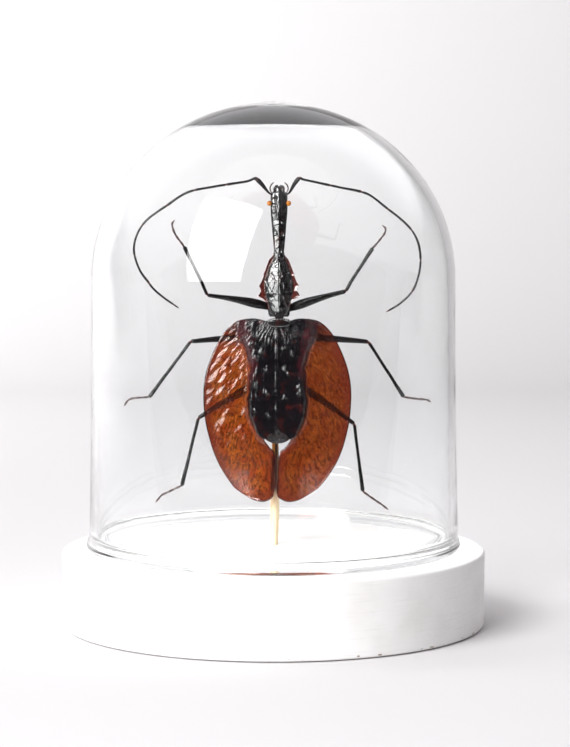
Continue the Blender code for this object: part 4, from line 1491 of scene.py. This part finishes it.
@dataclass
class Studio:
    """The pale floor, the lights and the camera, in metres."""

    photo_size: tuple[int, int] = (570, 747)
    camera_place: tuple[float, float, float] = (0.0, -0.632, 0.117)
    focal_pixels: float = 2332.0
    horizon_pixel: float = 192.0
    axis_pixel: float = 273.5
    softbox_place: tuple[float, float, float] = (-0.404, -0.563, 0.415)
    softbox_facing: tuple[float, float, float] = (0.542, 0.673, -0.503)
    softbox_size: tuple[float, float] = (0.523, 0.741)
    wall_height: float = 0.7

    def add_camera(self) -> None:
        """Sets the camera at the photograph's angle."""
        width, height = self.photo_size
        data = bpy.data.cameras.new("camera")
        data.sensor_fit = "VERTICAL"
        data.sensor_height = 36.0
        data.lens = 36.0 * self.focal_pixels / height
        data.shift_x = (width / 2 - self.axis_pixel) / height
        data.clip_start = 0.01
        camera = bpy.data.objects.new("camera", data)
        pitch = math.atan((height / 2 - self.horizon_pixel) / self.focal_pixels)
        camera.location = self.camera_place
        camera.rotation_euler = (math.pi / 2 - pitch, 0.0, 0.0)
        bpy.context.scene.collection.objects.link(camera)
        bpy.context.scene.camera = camera

    def add_paper(self, name: str, section: np.ndarray, finish: Paper) -> None:
        """Lays a strip of background paper, 8 m wide, with the given section.

        Args:
            name: The strip's name.
            section: Rows of y and z, in metres.
            finish: The paper's finish.
        """
        x = np.linspace(-4.0, 4.0, 9)
        y, z = section[:, :1], section[:, 1:] - 0.0003
        points = np.stack(np.broadcast_arrays(x[None], y, z), axis=-1)
        index = np.arange(points.shape[0] * 9).reshape(-1, 9)
        faces = np.stack([index[:-1, :-1], index[:-1, 1:], index[1:, 1:], index[1:, :-1]], axis=-1)
        mesh = bpy.data.meshes.new(name)
        mesh.from_pydata(points.reshape(-1, 3).tolist(), [], faces.reshape(-1, 4).tolist())
        mesh.shade_smooth()
        mesh.materials.append(finish.material())
        strip = bpy.data.objects.new(name, mesh)
        bpy.context.scene.collection.objects.link(strip)

    def add_sweep(self) -> None:
        """Lays the paper: flat around the object, and a quarter circle up to a low wall at both ends.

        The front strip, behind the camera, has painted shade in reflections, as a studio's unlit front.
        """
        bend = np.linspace(-math.pi / 2, 0, 24)
        rise = np.stack([0.35 * np.cos(bend), 0.35 + 0.35 * np.sin(bend)], axis=1)
        back = np.vstack([[-0.16, 0.0], rise + (0.75, 0.0), [1.1, self.wall_height]])
        front = np.vstack([[-2.0, self.wall_height], (rise * (-1, 1) + (-1.65, 0.0))[::-1], [-0.16, 0.0]])
        self.add_paper("paper_sweep", back, PAPER)
        self.add_paper("paper_front", front, UNLIT_PAPER)

    def add_light(
        self, name: str, place: tuple, aim: tuple, size: tuple[float, float], radiance: float, spread: float
    ) -> None:
        """Hangs a rectangular soft light.

        Args:
            name: The light's name.
            place: Where it hangs.
            aim: The point that it faces.
            size: Its width and height.
            radiance: How bright its face is, where white paper in full light is 1.
            spread: The angle in degrees that its grid lets through.
        """
        data = bpy.data.lights.new(name, "AREA")
        data.shape = "RECTANGLE"
        data.size, data.size_y = size
        data.energy = radiance * math.pi * size[0] * size[1]
        data.spread = math.radians(spread)
        light = bpy.data.objects.new(name, data)
        back = np.array(place) - np.array(aim)
        back /= np.linalg.norm(back)
        light.location = place
        light.rotation_euler = (math.acos(back[2]), 0.0, math.atan2(back[0], -back[1]))
        light.visible_camera = False
        light.visible_glossy = light.visible_transmission = name == "softbox"
        bpy.context.scene.collection.objects.link(light)

    def build(self) -> None:
        """Sets up the paper, the softbox, the background's light, a fill, the room and the camera."""
        scene = bpy.context.scene
        scene.view_settings.view_transform = "Standard"
        self.add_camera()
        self.add_sweep()
        aim = np.array(self.softbox_place) + self.softbox_facing
        self.add_light("softbox", self.softbox_place, tuple(aim), self.softbox_size, 2.2, 84.0)
        self.add_light("background_light", (-1.6, 0.45, 0.35), (0.0, 1.1, 0.35), (0.8, 0.8), 8.0, 80.0)
        self.add_light("left_fill", (-0.85, 0.25, 0.55), (-0.35, 0.5, 0.0), (0.3, 0.3), 4.2, 90.0)
        world = bpy.data.worlds.new("studio_room")
        world.use_nodes = True
        tree = world.node_tree
        way = add_node(tree, "ShaderNodeTexCoord").outputs["Generated"]
        parts = add_node(tree, "ShaderNodeSeparateXYZ", inputs={0: way}).outputs
        sides = PAPER.between(tree, parts["Y"], -0.85, -0.2, (0.04, 0.31))
        above = PAPER.between(tree, parts["Z"], 0.2, 0.5, (0.0, 1.2))
        behind = PAPER.between(tree, parts["Y"], 0.1, 0.6)
        room = tree.nodes["Background"]
        room.inputs["Color"].default_value = linear("F3F1F4")
        inputs = {0: above, 1: behind, 2: sides}
        both = add_node(tree, "ShaderNodeMath", {"operation": "MULTIPLY_ADD"}, inputs).outputs[0]
        tree.links.new(both, room.inputs["Strength"])
        scene.world = world


def main() -> None:
    """Builds the sub-assemblies in order, then the studio."""
    logging.basicConfig(level=logging.INFO, format="%(message)s")
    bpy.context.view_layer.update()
    parts: list[object] = [WoodenBase(), GlassDome(), BambooStick()]
    parts += [WingCase(side) for side in Side]
    parts += [Trunk(), Pronotum(), Head()]
    parts += [Antenna(side) for side in Side]
    for name, joints in LEG_JOINTS.items():
        radii = FORE_THIGH if "fore" in name else Leg.thigh_radii
        parts.append(Leg(name, joints, radii))
    parts.append(Studio())
    for part in parts:
        part.build()
    LOG.info("sizes kept")


if __name__ == "__main__":
    main()
